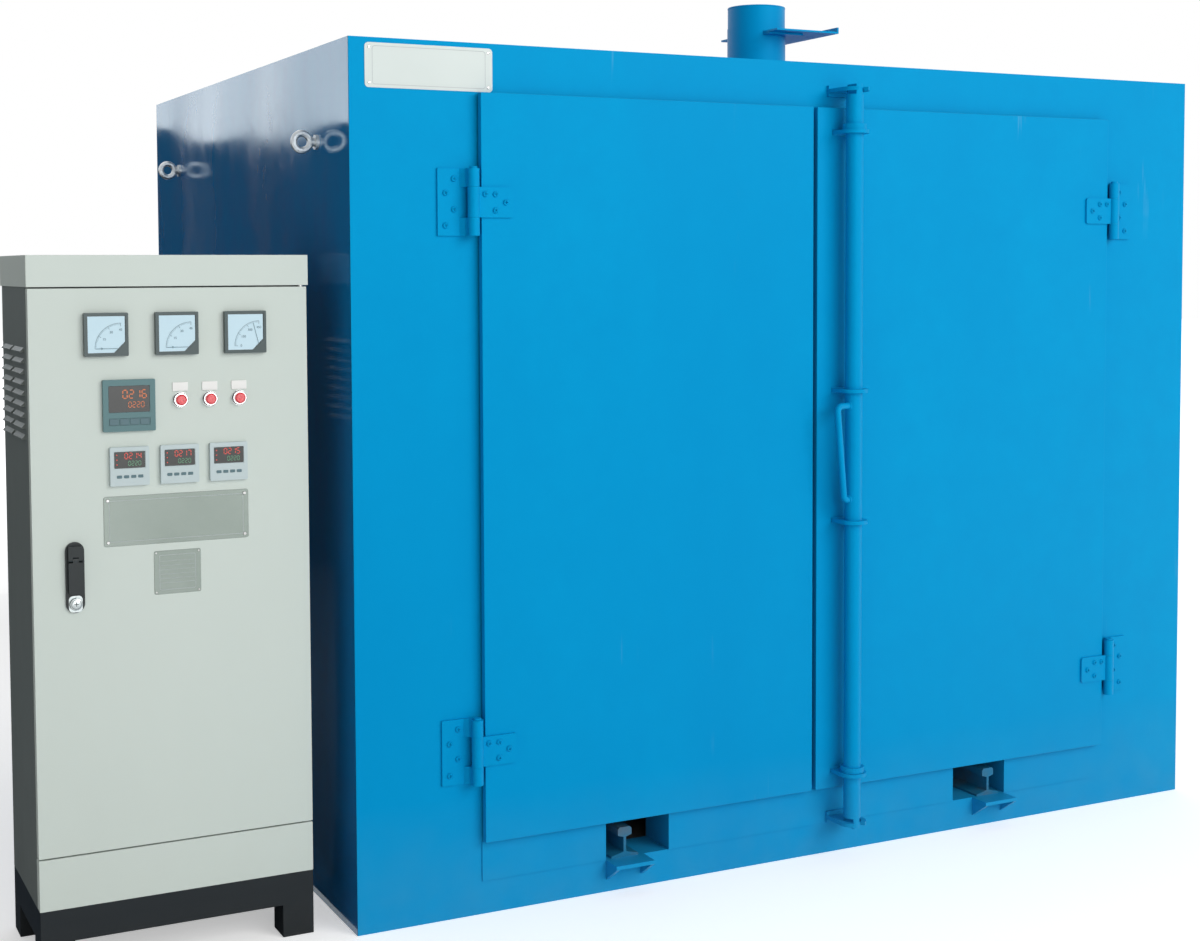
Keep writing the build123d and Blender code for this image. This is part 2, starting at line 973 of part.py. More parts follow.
# Temperature probe with its connection head
probe_base = oven_height + probe_flange_thickness
head_low = probe_base + probe_neck_height
head_high = head_low + probe_head_height
probe_profile = (
    (0, ceiling - probe_depth),
    (probe_radius, ceiling - probe_depth + probe_radius),
    (probe_radius, oven_height),
    (probe_flange, oven_height),
    (probe_flange, probe_base),
    (probe_neck, probe_base),
    (probe_neck, head_low),
    (probe_head, head_low + probe_cone),
    (probe_head, head_high),
    (probe_head - probe_cone, head_high + probe_dome),
    (0, head_high + probe_dome),
)
with BuildPart() as temperature_probe:
    with BuildSketch(Plane.XZ.offset(-probe_y)):
        with Locations((probe_x, 0)):
            Polygon(*probe_profile, align=None)
    revolve(axis=Axis((probe_x, probe_y, 0), (0, 0, 1)))
save(temperature_probe, "temperature_probe")

# Lifting eyes high on both sides
eye_height = oven_height - eye_drop
with BuildPart() as lifting_eyes:
    for hand in (-1, 1):
        for y in (front + eye_front, back - eye_back):
            ring_x = hand * (side + eye_lift + eye_ring + eye_wire)
            ring_centre = (ring_x, y, eye_height)
            with BuildSketch(Plane(origin=ring_centre, x_dir=(0, 0, 1), z_dir=(1, 0, 0))):
                with Locations((eye_ring, 0)):
                    RegularPolygon(eye_wire, eye_sides)
            revolve(axis=Axis(ring_centre, (0, 1, 0)))
            with BuildSketch(Plane.YZ.offset(hand * side)):
                with Locations((y, eye_height)):
                    Circle(eye_collar)
            extrude(amount=hand * eye_collar_height)
            with BuildSketch(Plane.YZ.offset(hand * side)):
                with Locations((y, eye_height)):
                    Circle(eye_stem)
            extrude(amount=hand * (eye_lift + eye_wire))
save(lifting_eyes, "lifting_eyes")

# Fresh air stub in the back wall
with BuildPart() as air_inlet:
    with BuildSketch(upright(liner_back - skin)):
        with Locations((air_inlet_x, air_inlet_z)):
            Circle(inlet_pipe)
    extrude(amount=-(insulation + 2 * skin + inlet_stub))
    with BuildSketch(upright(back)):
        with Locations((air_inlet_x, air_inlet_z)):
            Circle(inlet_pipe + inlet_collar)
    extrude(amount=-inlet_collar_thickness)
    with BuildSketch(upright(liner_back - skin)):
        with Locations((air_inlet_x, air_inlet_z)):
            Circle(inlet_pipe - skin)
    extrude(amount=-(insulation + 2 * skin + inlet_stub), mode=Mode.SUBTRACT)
save(air_inlet, "air_inlet")

# Bare name plate on the front
with BuildPart() as oven_nameplate:
    with BuildSketch(upright(front)):
        with Locations(
            (
                -side + plate_margin_x + plate_width / 2,
                oven_height - plate_margin_z - plate_height / 2,
            )
        ):
            RectangleRounded(plate_width, plate_height, plate_corner)
    extrude(amount=plate_thickness)
save(oven_nameplate, "oven_nameplate")


# Keeper forks on the frame. The bar's flats pass the neck, its round part doesn't.
def keeper_profile(root_y):
    neck = keeper_neck / 2
    mouth_y = bar_y - guide_radius - seat_gap
    span(bar_x - guide_radius, bar_x + guide_radius, bar_y, root_y)
    with Locations((bar_x, bar_y)):
        Circle(guide_radius)
        Circle(keeper_seat, mode=Mode.SUBTRACT)
    Polygon(
        (bar_x - neck, bar_y),
        (bar_x - neck, mouth_y),
        (bar_x + neck + keeper_flare, mouth_y),
        (bar_x + neck, bar_y - keeper_seat + keeper_throat),
        (bar_x + neck, bar_y),
        align=None,
        mode=Mode.SUBTRACT,
    )


with BuildPart() as lock_keepers:
    for z, root_y in zip(keeper_rows, (front - sill_plate_skin, front)):
        with BuildSketch(Plane.XY.offset(z - guide_thickness / 2)):
            keeper_profile(root_y)
        extrude(amount=guide_thickness)
        block(
            bar_x - guide_radius,
            bar_x + guide_radius,
            root_y - keeper_edge,
            root_y,
            z - 3 * guide_thickness / 2,
            z + 3 * guide_thickness / 2,
        )
save(lock_keepers, "lock_keepers")


# The frame halves of the T hinges: flat leaves that rise to the outer knuckles
with BuildPart() as hinge_leaves:
    for hand in (-1, 1):
        x = hand * hinge_x
        for z in hinge_rows:
            with BuildSketch(Plane.XY.offset(z - leaf_height / 2)):
                span(x + hand * leaf_start, x + hand * leaf_width, front - hinge_plate, front)
                Polygon(
                    (x + hand * leaf_bend, front),
                    (x + hand * leaf_start, front),
                    (x + hand * leaf_root, hinge_y + knuckle_radius - leaf_root),
                    (x + hand * (knuckle_radius - leaf_root), hinge_y),
                    (x + hand * (knuckle_radius + leaf_lap), front - hinge_plate - leaf_start),
                    (x + hand * leaf_bend, front - hinge_plate),
                    align=None,
                )
                with Locations((x, hinge_y)):
                    Circle(knuckle_radius)
            extrude(amount=leaf_height)
            reach = strap_height / 2 + knuckle_gap
            block(
                x - hand * knuckle_radius,
                x + hand * leaf_bend,
                hinge_y - knuckle_radius,
                front - hinge_plate,
                z - reach,
                z + reach,
                Mode.SUBTRACT,
            )
            with BuildSketch(Plane.XY.offset(z - leaf_height / 2)):
                with Locations((x, hinge_y)):
                    Circle(pin_radius + pin_clearance)
            extrude(amount=leaf_height, mode=Mode.SUBTRACT)
save(hinge_leaves, "hinge_leaves")

# Hinge pins with a flat head on top
with BuildPart() as hinge_pins:
    for hand in (-1, 1):
        for z in hinge_rows:
            with BuildSketch(Plane.XY.offset(z - leaf_height / 2)):
                with Locations((hand * hinge_x, hinge_y)):
                    Circle(pin_radius)
            extrude(amount=leaf_height)
            with BuildSketch(Plane.XY.offset(z + leaf_height / 2)):
                with Locations((hand * hinge_x, hinge_y)):
                    Circle(pin_radius + pin_rim)
            extrude(amount=pin_head)
save(hinge_pins, "hinge_pins")

plug_angle = degrees(atan(plug_draft / plug_depth))


# One door: outer pan, insulation, tapered inner tub, seal and hinge straps
def make_door(hand, side_name, meeting):
    outer = hand * door_half
    jamb_side = hand * (opening_half - plug_side_gap)
    plug_meeting = meeting + hand * plug_meeting_gap / 2
    plug_low = sill_height + plug_side_gap
    plug_high = head - plug_side_gap
    inset = hand * skin
    liner_flange = pan_back - skin
    tub_depth = plug_depth - skin

    with BuildPart() as pan:
        with BuildSketch(upright(pan_front)):
            span(outer, meeting, door_low, door_high)
        extrude(amount=-pan_depth)
        with BuildSketch(upright(pan_front + skin)):
            span(outer - inset, meeting + inset, door_low + skin, door_high - skin)
        extrude(amount=-(pan_depth - skin), mode=Mode.SUBTRACT)
    save(pan, f"door_{side_name}_pan")

    with BuildPart() as tub:
        with BuildSketch(upright(liner_flange)):
            span(outer - inset, meeting + inset, door_low + skin, door_high - skin)
        extrude(amount=-skin)
        with BuildSketch(upright(pan_back)):
            span(jamb_side, plug_meeting, plug_low, plug_high)
        extrude(amount=-plug_depth, taper=plug_angle)
        with BuildSketch(upright(liner_flange)):
            span(jamb_side - inset, plug_meeting + inset, plug_low + skin, plug_high - skin)
        extrude(amount=-tub_depth, taper=plug_angle, mode=Mode.SUBTRACT)
    save(tub, f"door_{side_name}_liner")

    with BuildPart() as wool:
        with BuildSketch(upright(pan_front + skin)):
            span(outer - inset, meeting + inset, door_low + skin, door_high - skin)
        extrude(amount=-(pan_depth - 2 * skin))
        with BuildSketch(upright(liner_flange)):
            span(jamb_side - inset, plug_meeting + inset, plug_low + skin, plug_high - skin)
        extrude(amount=-tub_depth, taper=plug_angle)
    save(wool, f"door_{side_name}_insulation")

    with BuildPart() as seal:
        seal_outer = outer - hand * (door_lap - seal_width) / 2
        seal_inner = seal_outer - hand * seal_width
        edge = (door_lap - seal_width) / 2
        with BuildSketch(upright(pan_back)):
            span(seal_outer, meeting + hand * edge, door_low + edge, door_high - edge)
            span(
                seal_inner,
                meeting - hand * edge,
                door_low + edge + seal_width,
                door_high - edge - seal_width,
                Mode.SUBTRACT,
            )
        extrude(amount=-seal_thickness)
        if hand > 0:
            with BuildSketch(upright(pan_back + skin)):
                span(plug_meeting - meeting_seal, plug_meeting, plug_low, plug_high)
            extrude(amount=-meeting_seal_depth)
    save(seal, f"door_{side_name}_seal")

    with BuildPart() as straps:
        for z in hinge_rows:
            x = hand * hinge_x
            with BuildSketch(upright(pan_front)):
                span(x, x - hand * strap_length, z - strap_height / 2, z + strap_height / 2)
                strap_end = vertices().sort_by(Axis.X, reverse=hand < 0)[:2]
                fillet(strap_end, radius=strap_corner)
            extrude(amount=hinge_plate)
            with BuildSketch(Plane.XY.offset(z - strap_height / 2)):
                with Locations((x, hinge_y)):
                    Circle(knuckle_radius)
            extrude(amount=strap_height)
            with BuildSketch(Plane.XY.offset(z - strap_height / 2)):
                with Locations((x, hinge_y)):
                    Circle(pin_radius + pin_clearance)
            extrude(amount=strap_height, mode=Mode.SUBTRACT)
    save(straps, f"door_{side_name}_straps")


make_door(-1, "left", left_meeting)
make_door(1, "right", right_meeting)

# Guide plates that carry the locking bar on the right door
with BuildPart() as lock_guides:
    for z in guide_rows:
        with BuildSketch(Plane.XY.offset(z - guide_thickness / 2)):
            span(bar_x - guide_radius, bar_x + guide_radius, bar_y, pan_front)
            with Locations((bar_x, bar_y)):
                Circle(guide_radius)
                Circle(bar_radius + guide_clearance, mode=Mode.SUBTRACT)
        extrude(amount=guide_thickness)
save(lock_guides, "lock_guides")

# Locking bar with flats at both ends, stop collars and a bent grip
grip_root = bar_radius - grip_sink
grip_dir = Vector(cos(radians(grip_angle)), sin(radians(grip_angle)), 0)


def grip_point(reach, z):
    return Vector(bar_x, bar_y, z) + grip_dir * reach


with BuildPart() as lock_bar:
    with BuildSketch(Plane.XY.offset(bar_low)):
        with Locations((bar_x, bar_y)):
            Circle(bar_radius)
    extrude(amount=bar_high - bar_low)
    for z in (bar_low, bar_high - flat_length):
        with BuildSketch(Plane.XY.offset(z)):
            with Locations((bar_x, bar_y)):
                Rectangle(2 * bar_radius, 2 * bar_radius)
                Rectangle(flat_thickness, 2 * bar_radius, mode=Mode.SUBTRACT)
        extrude(amount=flat_length, mode=Mode.SUBTRACT)
    for z in (guide_rows[0], guide_rows[3]):
        with BuildSketch(Plane.XY.offset(z + guide_thickness / 2 + seat_gap)):
            with Locations((bar_x, bar_y)):
                Circle(collar_radius)
        extrude(amount=collar_height)
    with BuildLine() as grip_path:
        FilletPolyline(
            grip_point(grip_root, grip_low),
            grip_point(grip_reach_low, grip_low),
            grip_point(grip_reach_high, grip_high),
            grip_point(grip_root, grip_high),
            radius=grip_bend,
        )
    with BuildSketch(Plane(origin=grip_point(grip_root, grip_low), z_dir=grip_dir)):
        Circle(grip_radius)
    sweep(path=grip_path.wire())
save(lock_bar, "lock_bar")

# Cabinet base: black corner feet under a ring of square beams
with BuildPart() as cabinet_stand:
    beam_low = cabinet_base - beam_height
    block(cabinet_left, cabinet_right, cabinet_front, cabinet_back, beam_low, cabinet_base)
    block(
        cabinet_left + foot_width,
        cabinet_right - foot_width,
        cabinet_front + foot_width,
        cabinet_back - foot_width,
        beam_low,
        cabinet_base,
        Mode.SUBTRACT,
    )
    with BuildSketch():
        with Locations((cabinet_x, (cabinet_front + cabinet_back) / 2)):
            with GridLocations(
                cabinet_width - foot_width, cabinet_depth - foot_width, 2, 2
            ):
                Rectangle(foot_width, foot_width)
    extrude(amount=beam_low)
save(cabinet_stand, "cabinet_stand")

# Cabinet shell with a flanged front opening and pressed louvres in both sides
shell_top = cabinet_height - cap_overhang
louvre_hood = (
    (0, 0),
    (louvre_depth, -louvre_height + louvre_lip),
    (louvre_depth, -louvre_height),
    (0, -louvre_height),
)
louvre_throat = (
    (-cabinet_skin, -louvre_sheet),
    (0, -louvre_sheet),
    (louvre_depth - louvre_sheet, -louvre_height + louvre_lip),
    (louvre_depth - louvre_sheet, -louvre_height),
    (-cabinet_skin, -louvre_height),
)
louvre_spots = [(0, louvre_top - row * louvre_pitch) for row in range(louvre_rows)]
louvre_mid = (shell_front + cabinet_back) / 2
with BuildPart() as cabinet_shell:
    block(cabinet_left, cabinet_right, shell_front, cabinet_back, cabinet_base, shell_top)
    block(
        cabinet_left + cabinet_skin,
        cabinet_right - cabinet_skin,
        shell_front + cabinet_skin,
        cabinet_back - cabinet_skin,
        cabinet_base + cabinet_skin,
        shell_top - cabinet_skin,
        Mode.SUBTRACT,
    )
    with BuildSketch(upright(shell_front)):
        span(
            cabinet_left + frame_flange,
            cabinet_right - frame_flange,
            kick_top + frame_flange,
            cap_low - frame_flange,
        )
    extrude(amount=-cabinet_skin, mode=Mode.SUBTRACT)
    for wall_x, outward in ((cabinet_left, -1), (cabinet_right, 1)):
        for column in (-1, 1):
            centre = louvre_mid + column * louvre_spread / 2
            with BuildSketch(upright(centre - louvre_length / 2)):
                with Locations((wall_x, 0)):
                    with Locations(*louvre_spots):
                        Polygon(*[(outward * x, z) for x, z in louvre_hood], align=None)
            extrude(amount=-louvre_length)
            with BuildSketch(upright(centre - louvre_length / 2 + louvre_sheet)):
                with Locations((wall_x, 0)):
                    with Locations(*louvre_spots):
                        Polygon(*[(outward * x, z) for x, z in louvre_throat], align=None)
            extrude(amount=-(louvre_length - 2 * louvre_sheet), mode=Mode.SUBTRACT)
save(cabinet_shell, "cabinet_shell")

# Kick panel in front of the shell, under the door
with BuildPart() as cabinet_kick_panel:
    block(cabinet_left, cabinet_right, cabinet_front, shell_front, cabinet_base, kick_top)
    block(
        cabinet_left + cabinet_skin,
        cabinet_right - cabinet_skin,
        cabinet_front + cabinet_skin,
        shell_front,
        cabinet_base + cabinet_skin,
        kick_top - cabinet_skin,
        Mode.SUBTRACT,
    )
save(cabinet_kick_panel, "cabinet_kick_panel")

# Cap over the shell, its front closed underneath
with BuildPart() as cabinet_cap:
    block(
        cabinet_left - cap_overhang,
        cabinet_right + cap_overhang,
        cabinet_front - cap_overhang,
        cabinet_back + cap_overhang,
        cap_low,
        cabinet_height,
    )
    block(
        cabinet_left,
        cabinet_right,
        shell_front,
        cabinet_back,
        cap_low,
        shell_top,
        Mode.SUBTRACT,
    )
    block(
        cabinet_left,
        cabinet_right,
        cabinet_front,
        shell_front,
        cap_low + cap_overhang,
        shell_top,
        Mode.SUBTRACT,
    )
save(cabinet_cap, "cabinet_cap")

# Pivot pins of the cabinet door, each with a shoulder that stops just short of the door
pivot_x = cabinet_right - pivot_inset
pivot_y = cabinet_front + cabinet_door_depth - pivot_inset
shoulder = door_margin - seat_gap
with BuildPart() as cabinet_pivots:
    for z, direction in ((kick_top, 1), (cap_low, -1)):
        with BuildSketch(Plane.XY.offset(z)):
            with Locations((pivot_x, pivot_y)):
                Circle(pivot_radius)
        extrude(amount=direction * pivot_length)
        with BuildSketch(Plane.XY.offset(z)):
            with Locations((pivot_x, pivot_y)):
                Circle(2 * pivot_radius)
        extrude(amount=direction * shoulder)
save(cabinet_pivots, "cabinet_pivots")

meter_places = [
    (cabinet_x + meter_shift + step * meter_pitch, meter_row) for step in (-1, 0, 1)
]
zone_places = [(cabinet_x + zone_shift + step * zone_pitch, zone_row) for step in (-1, 0, 1)]
lamp_places = [(cabinet_x + lamp_shift + step * lamp_pitch, lamp_row) for step in (-1, 0, 1)]
controller_place = (cabinet_x + controller_x, controller_row)
spindle_x = cabinet_x + handle_x
spindle_z = handle_row + handle_height / 2 - spindle_drop
meter_can = meter_size / 2 - can_margin
controller_can = controller_size - 2 * can_margin
zone_can = zone_size - 2 * can_margin
lamp_can = lamp_radius - lamp_margin

# Cabinet door: a sheet pan with returned edges and cut-outs for the instruments
door_back = cabinet_front + cabinet_door_depth
with BuildPart() as cabinet_door:
    block(
        cabinet_left,
        cabinet_right,
        cabinet_front,
        door_back,
        cabinet_door_low,
        cabinet_door_high,
    )
    block(
        cabinet_left + cabinet_skin,
        cabinet_right - cabinet_skin,
        cabinet_front + cabinet_skin,
        door_back - cabinet_skin,
        cabinet_door_low + cabinet_skin,
        cabinet_door_high - cabinet_skin,
        Mode.SUBTRACT,
    )
    with BuildSketch(upright(door_back - cabinet_skin)):
        span(
            cabinet_left + return_width,
            cabinet_right - return_width,
            cabinet_door_low + return_width,
            cabinet_door_high - return_width,
        )
    extrude(amount=-cabinet_skin, mode=Mode.SUBTRACT)
    with BuildSketch(upright(cabinet_front)):
        with Locations(*meter_places):
            Circle(meter_can + cutout_slack)
        with Locations(controller_place):
            Rectangle(controller_can + 2 * cutout_slack, controller_can + 2 * cutout_slack)
        with Locations(*zone_places):
            Rectangle(zone_can + 2 * cutout_slack, zone_can + 2 * cutout_slack)
        with Locations(*lamp_places):
            Circle(lamp_can + cutout_slack)
        with Locations((spindle_x, spindle_z)):
            Circle(spindle_radius + pin_clearance)
    extrude(amount=-cabinet_skin, mode=Mode.SUBTRACT)
    with BuildSketch(Plane.XY.offset(cabinet_door_low)):
        with Locations((pivot_x, pivot_y)):
            Circle(pivot_radius + pin_clearance)
    extrude(amount=cabinet_door_high - cabinet_door_low, mode=Mode.SUBTRACT)
save(cabinet_door, "cabinet_door")

# Sponge seal between the cabinet door and the shell flange
with BuildPart() as cabinet_door_seal:
    with BuildSketch(upright(door_back)):
        span(
            cabinet_left + seal_inset,
            cabinet_right - seal_inset,
            cabinet_door_low + seal_inset,
            cabinet_door_high - seal_inset,
        )
        span(
            cabinet_left + frame_flange,
            cabinet_right - frame_flange,
            cabinet_door_low + frame_flange,
            cabinet_door_high - frame_flange,
            Mode.SUBTRACT,
        )
    extrude(amount=-cabinet_seal)
save(cabinet_door_seal, "cabinet_door_seal")

# Panel meters: square bezel with a recessed dial and a round can behind
with BuildPart() as panel_meters:
    for x, z in meter_places:
        with BuildSketch(upright(cabinet_front - meter_depth)):
            with Locations((x, z)):
                RectangleRounded(meter_size, meter_size, bezel_corner)
        extrude(amount=-meter_depth)
        with BuildSketch(upright(cabinet_front - meter_depth)):
            with Locations((x, z)):
                dial = meter_size - 2 * bezel_rim
                Rectangle(dial, dial)
                with Locations((dial / 2, -dial / 2)):
                    Rectangle(dial_corner, dial_corner, rotation=45, mode=Mode.SUBTRACT)
        extrude(amount=-bezel_recess, mode=Mode.SUBTRACT)
        with BuildSketch(upright(cabinet_front)):
            with Locations((x, z)):
                Circle(meter_can)
        extrude(amount=-meter_can_depth)
save(panel_meters, "panel_meters")

# Main temperature controller
with BuildPart() as main_controller:
    with BuildSketch(upright(cabinet_front - bezel_depth)):
        with Locations(controller_place):
            RectangleRounded(controller_size, controller_size, bezel_corner)
    extrude(amount=-bezel_depth)
    with BuildSketch(upright(cabinet_front - bezel_depth)):
        with Locations(controller_place):
            with Locations((0, controller_window_rise)):
                Rectangle(controller_window, controller_window_height)
            with Locations((0, -controller_keys_drop)):
                Rectangle(controller_window, controller_keys)
    extrude(amount=-bezel_recess, mode=Mode.SUBTRACT)
    with BuildSketch(upright(cabinet_front)):
        with Locations(controller_place):
            Rectangle(controller_can, controller_can)
    extrude(amount=-can_depth)
save(main_controller, "main_controller")

# Three small controllers for the heater zones
with BuildPart() as zone_controllers:
    for x, z in zone_places:
        with BuildSketch(upright(cabinet_front - bezel_depth)):
            with Locations((x, z)):
                RectangleRounded(zone_size, zone_size, bezel_corner)
        extrude(amount=-bezel_depth)
        with BuildSketch(upright(cabinet_front - bezel_depth)):
            with Locations((x, z + zone_window_rise)):
                Rectangle(zone_window, zone_window_height)
        extrude(amount=-bezel_recess, mode=Mode.SUBTRACT)
        with BuildSketch(upright(cabinet_front)):
            with Locations((x, z)):
                Rectangle(zone_can, zone_can)
        extrude(amount=-can_depth)
save(zone_controllers, "zone_controllers")

# Pilot lamp bodies: a stepped ring in front, a threaded can behind
with BuildPart() as pilot_lamps:
    for x, z in lamp_places:
        with BuildSketch(upright(cabinet_front - lamp_flange)):
            with Locations((x, z)):
                Circle(lamp_radius)
        extrude(amount=-lamp_flange)
        with BuildSketch(upright(cabinet_front - lamp_ring)):
            with Locations((x, z)):
                Circle(lens_radius + lamp_rim)
        extrude(amount=-lamp_ring)
        with BuildSketch(upright(cabinet_front)):
            with Locations((x, z)):
                Circle(lamp_can)
        extrude(amount=-lamp_can_depth)
        with BuildSketch(upright(cabinet_front - lamp_ring)):
            with Locations((x, z)):
                Circle(lens_radius)
        extrude(amount=-lens_seat, mode=Mode.SUBTRACT)
save(pilot_lamps, "pilot_lamps")

# Domed red lenses that sit in the lamp rings
with BuildPart() as lamp_lenses:
    for x, z in lamp_places:
        with BuildSketch(upright(cabinet_front - lamp_ring + lens_seat)):
            with Locations((x, z)):
                Circle(lens_radius - cutout_slack / 2)
        extrude(amount=lens_height)
    chamfer(edges().filter_by(GeomType.CIRCLE).group_by(Axis.Y)[0], length=lens_chamfer)
save(lamp_lenses, "lamp_lenses")

# Swing handle: escutcheon, turning spindle with its tongue, and the folding lever
with BuildPart() as handle_escutcheon:
    with BuildSketch(upright(cabinet_front)):
        with Locations((spindle_x, handle_row)):
            SlotOverall(handle_height, handle_width, rotation=90)
        with Locations((spindle_x, spindle_z)):
            Circle(spindle_radius + pin_clearance, mode=Mode.SUBTRACT)
    extrude(amount=escutcheon)
    with BuildSketch(upright(cabinet_front - escutcheon)):
        with Locations((spindle_x, handle_row - handle_height / 2 + lock_rise)):
            Circle(lock_radius)
    extrude(amount=lock_height)
save(handle_escutcheon, "handle_escutcheon")

lever_back = cabinet_front - escutcheon - seat_gap
lever_front = lever_back - lever_thickness
lever_mid = (lever_front + lever_back) / 2
flip_z = spindle_z - flip_drop
knuckle = lever_thickness / 2
tongue_front = shell_front + cabinet_skin + tongue_gap
with BuildPart() as latch_spindle:
    with BuildSketch(upright(lever_back)):
        with Locations((spindle_x, spindle_z)):
            Circle(spindle_radius)
    extrude(amount=-(tongue_front + tongue_thickness - lever_back))
    with BuildSketch(upright(tongue_front)):
        span(
            spindle_x - tongue_width / 2,
            spindle_x + tongue_width / 2,
            spindle_z - tongue_width / 2,
            spindle_z + tongue_length,
        )
    extrude(amount=-tongue_thickness)
    with BuildSketch(Plane.YZ.offset(spindle_x - lever_width / 2)):
        span(lever_front, lever_back, flip_z, spindle_z + lever_width / 2)
        with Locations((lever_mid, flip_z)):
            Circle(knuckle)
    extrude(amount=lever_width)
    with BuildSketch(Plane.YZ.offset(spindle_x - lug_width / 2 - seat_gap)):
        span(lever_front, lever_back, flip_z - knuckle, flip_z + knuckle + seat_gap)
    extrude(amount=lug_width + 2 * seat_gap, mode=Mode.SUBTRACT)
    with BuildSketch(Plane.YZ.offset(spindle_x - lever_width / 2)):
        with Locations((lever_mid, flip_z)):
            Circle(flip_pin)
    extrude(amount=lever_width)
save(latch_spindle, "latch_spindle")

with BuildPart() as latch_lever:
    with BuildSketch(upright(lever_front)):
        lever_low = spindle_z - lever_length
        lever_top = flip_z - knuckle - cutout_slack
        half = lever_width / 2
        span(spindle_x - half, spindle_x + half, lever_low, lever_top)
        fillet(vertices().group_by(Axis.Y)[0], radius=lever_corner)
        span(spindle_x - lug_width / 2, spindle_x + lug_width / 2, lever_top, flip_z)
    extrude(amount=-lever_thickness)
    with BuildSketch(Plane.YZ.offset(spindle_x - lug_width / 2)):
        with Locations((lever_mid, flip_z)):
            Circle(knuckle)
    extrude(amount=lug_width)
    with BuildSketch(Plane.YZ.offset(spindle_x - lug_width / 2)):
        with Locations((lever_mid, flip_z)):
            Circle(flip_pin + pin_clearance)
    extrude(amount=lug_width, mode=Mode.SUBTRACT)
save(latch_lever, "latch_lever")

# Mounting plate inside the cabinet on four spacers
plate_front = cabinet_back - cabinet_skin - back_plate_standoff - back_plate
with BuildPart() as mounting_plate:
    with BuildSketch(upright(plate_front)):
        span(
            cabinet_left + back_plate_margin,
            cabinet_right - back_plate_margin,
            cabinet_base + back_plate_margin,
            cap_low - back_plate_margin,
        )
    extrude(amount=-back_plate)
    with BuildSketch(upright(plate_front + back_plate)):
        with Locations((cabinet_x, (cabinet_base + cap_low) / 2)):
            with GridLocations(
                cabinet_width - 2 * spacer_inset,
                cap_low - cabinet_base - 2 * spacer_inset,
                2,
                2,
            ):
                Circle(spacer_radius)
    extrude(amount=-back_plate_standoff)
save(mounting_plate, "mounting_plate")

# Main breaker: moulded case with a raised front and its toggle
with BuildPart() as main_breaker:
    with BuildSketch(upright(plate_front - breaker_depth)):
        with Locations((cabinet_x, breaker_row)):
            Rectangle(breaker_width, breaker_height)
    extrude(amount=-breaker_depth)
    with BuildSketch(upright(plate_front - breaker_depth)):
        with Locations((cabinet_x, breaker_row)):
            Rectangle(breaker_width, breaker_height / 2)
    extrude(amount=breaker_nose)
    with BuildSketch(upright(plate_front - breaker_depth - breaker_nose)):
        with Locations((cabinet_x, breaker_row + toggle_rise)):
            Rectangle(toggle_width, toggle_height)
    extrude(amount=toggle_reach)
save(main_breaker, "main_breaker")

# Contactors and terminals on two mounting rails
with BuildPart() as control_gear:
    for z in (contactor_row, terminal_row):
        with BuildSketch(upright(plate_front - gear_rail_depth)):
            with Locations((cabinet_x, z)):
                Rectangle(gear_rail_length, gear_rail_height)
        extrude(amount=-gear_rail_depth)
    with BuildSketch(upright(plate_front - gear_rail_depth)):
        with Locations((cabinet_x, contactor_row)):
            with GridLocations(contactor_pitch, 0, contactor_count, 1):
                Rectangle(contactor_width, contactor_height)
    extrude(amount=contactor_depth)
    with BuildSketch(upright(plate_front - gear_rail_depth - contactor_depth)):
        with Locations((cabinet_x, contactor_row)):
            with GridLocations(contactor_pitch, 0, contactor_count, 1):
                Rectangle(contactor_width, contactor_height / 2)
    extrude(amount=contactor_nose)
    with BuildSketch(upright(plate_front - gear_rail_depth)):
        with Locations((cabinet_x, terminal_row)):
            with GridLocations(terminal_pitch, 0, terminal_count, 1):
                Rectangle(terminal_width, terminal_height)
    extrude(amount=terminal_depth)
save(control_gear, "control_gear")
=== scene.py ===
import bmesh
import bpy
import json
import math
import random
from mathutils import Matrix, Vector


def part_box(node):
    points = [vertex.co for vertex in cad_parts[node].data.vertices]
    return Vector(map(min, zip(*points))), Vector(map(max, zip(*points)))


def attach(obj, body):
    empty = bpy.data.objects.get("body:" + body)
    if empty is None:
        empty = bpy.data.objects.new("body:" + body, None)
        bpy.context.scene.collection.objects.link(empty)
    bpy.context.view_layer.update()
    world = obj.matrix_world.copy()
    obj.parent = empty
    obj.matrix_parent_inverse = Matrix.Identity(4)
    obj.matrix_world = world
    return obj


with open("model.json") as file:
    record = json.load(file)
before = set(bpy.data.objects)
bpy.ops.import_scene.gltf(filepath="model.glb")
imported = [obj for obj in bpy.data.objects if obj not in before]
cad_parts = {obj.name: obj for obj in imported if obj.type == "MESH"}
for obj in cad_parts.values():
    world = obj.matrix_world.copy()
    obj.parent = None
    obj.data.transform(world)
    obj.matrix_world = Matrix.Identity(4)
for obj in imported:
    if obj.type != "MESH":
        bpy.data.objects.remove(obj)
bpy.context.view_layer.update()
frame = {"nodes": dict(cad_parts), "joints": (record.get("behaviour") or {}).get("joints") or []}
nodes = frame["nodes"]
random.seed(7)
print("frame loaded,", len(nodes), "CAD nodes")


# node building helpers

def setOrWire(tree, node, socket, value):
    # a pair of a node and its output is wired in, anything else is set
    if isinstance(value, tuple) and hasattr(value[0], "outputs"):
        wire(tree, *value, node, socket)
    else:
        node.inputs[socket].default_value = value


def addNode(tree, kind, at, **values):
    node = tree.nodes.new(kind)
    node.location = at
    for key, value in values.items():
        label = key.replace("_", " ")
        if label in node.inputs:
            setOrWire(tree, node, label, value)
        else:
            setattr(node, key, value)
    return node


def wire(tree, start, startSocket, end, endSocket):
    tree.links.new(start.outputs[startSocket], end.inputs[endSocket])


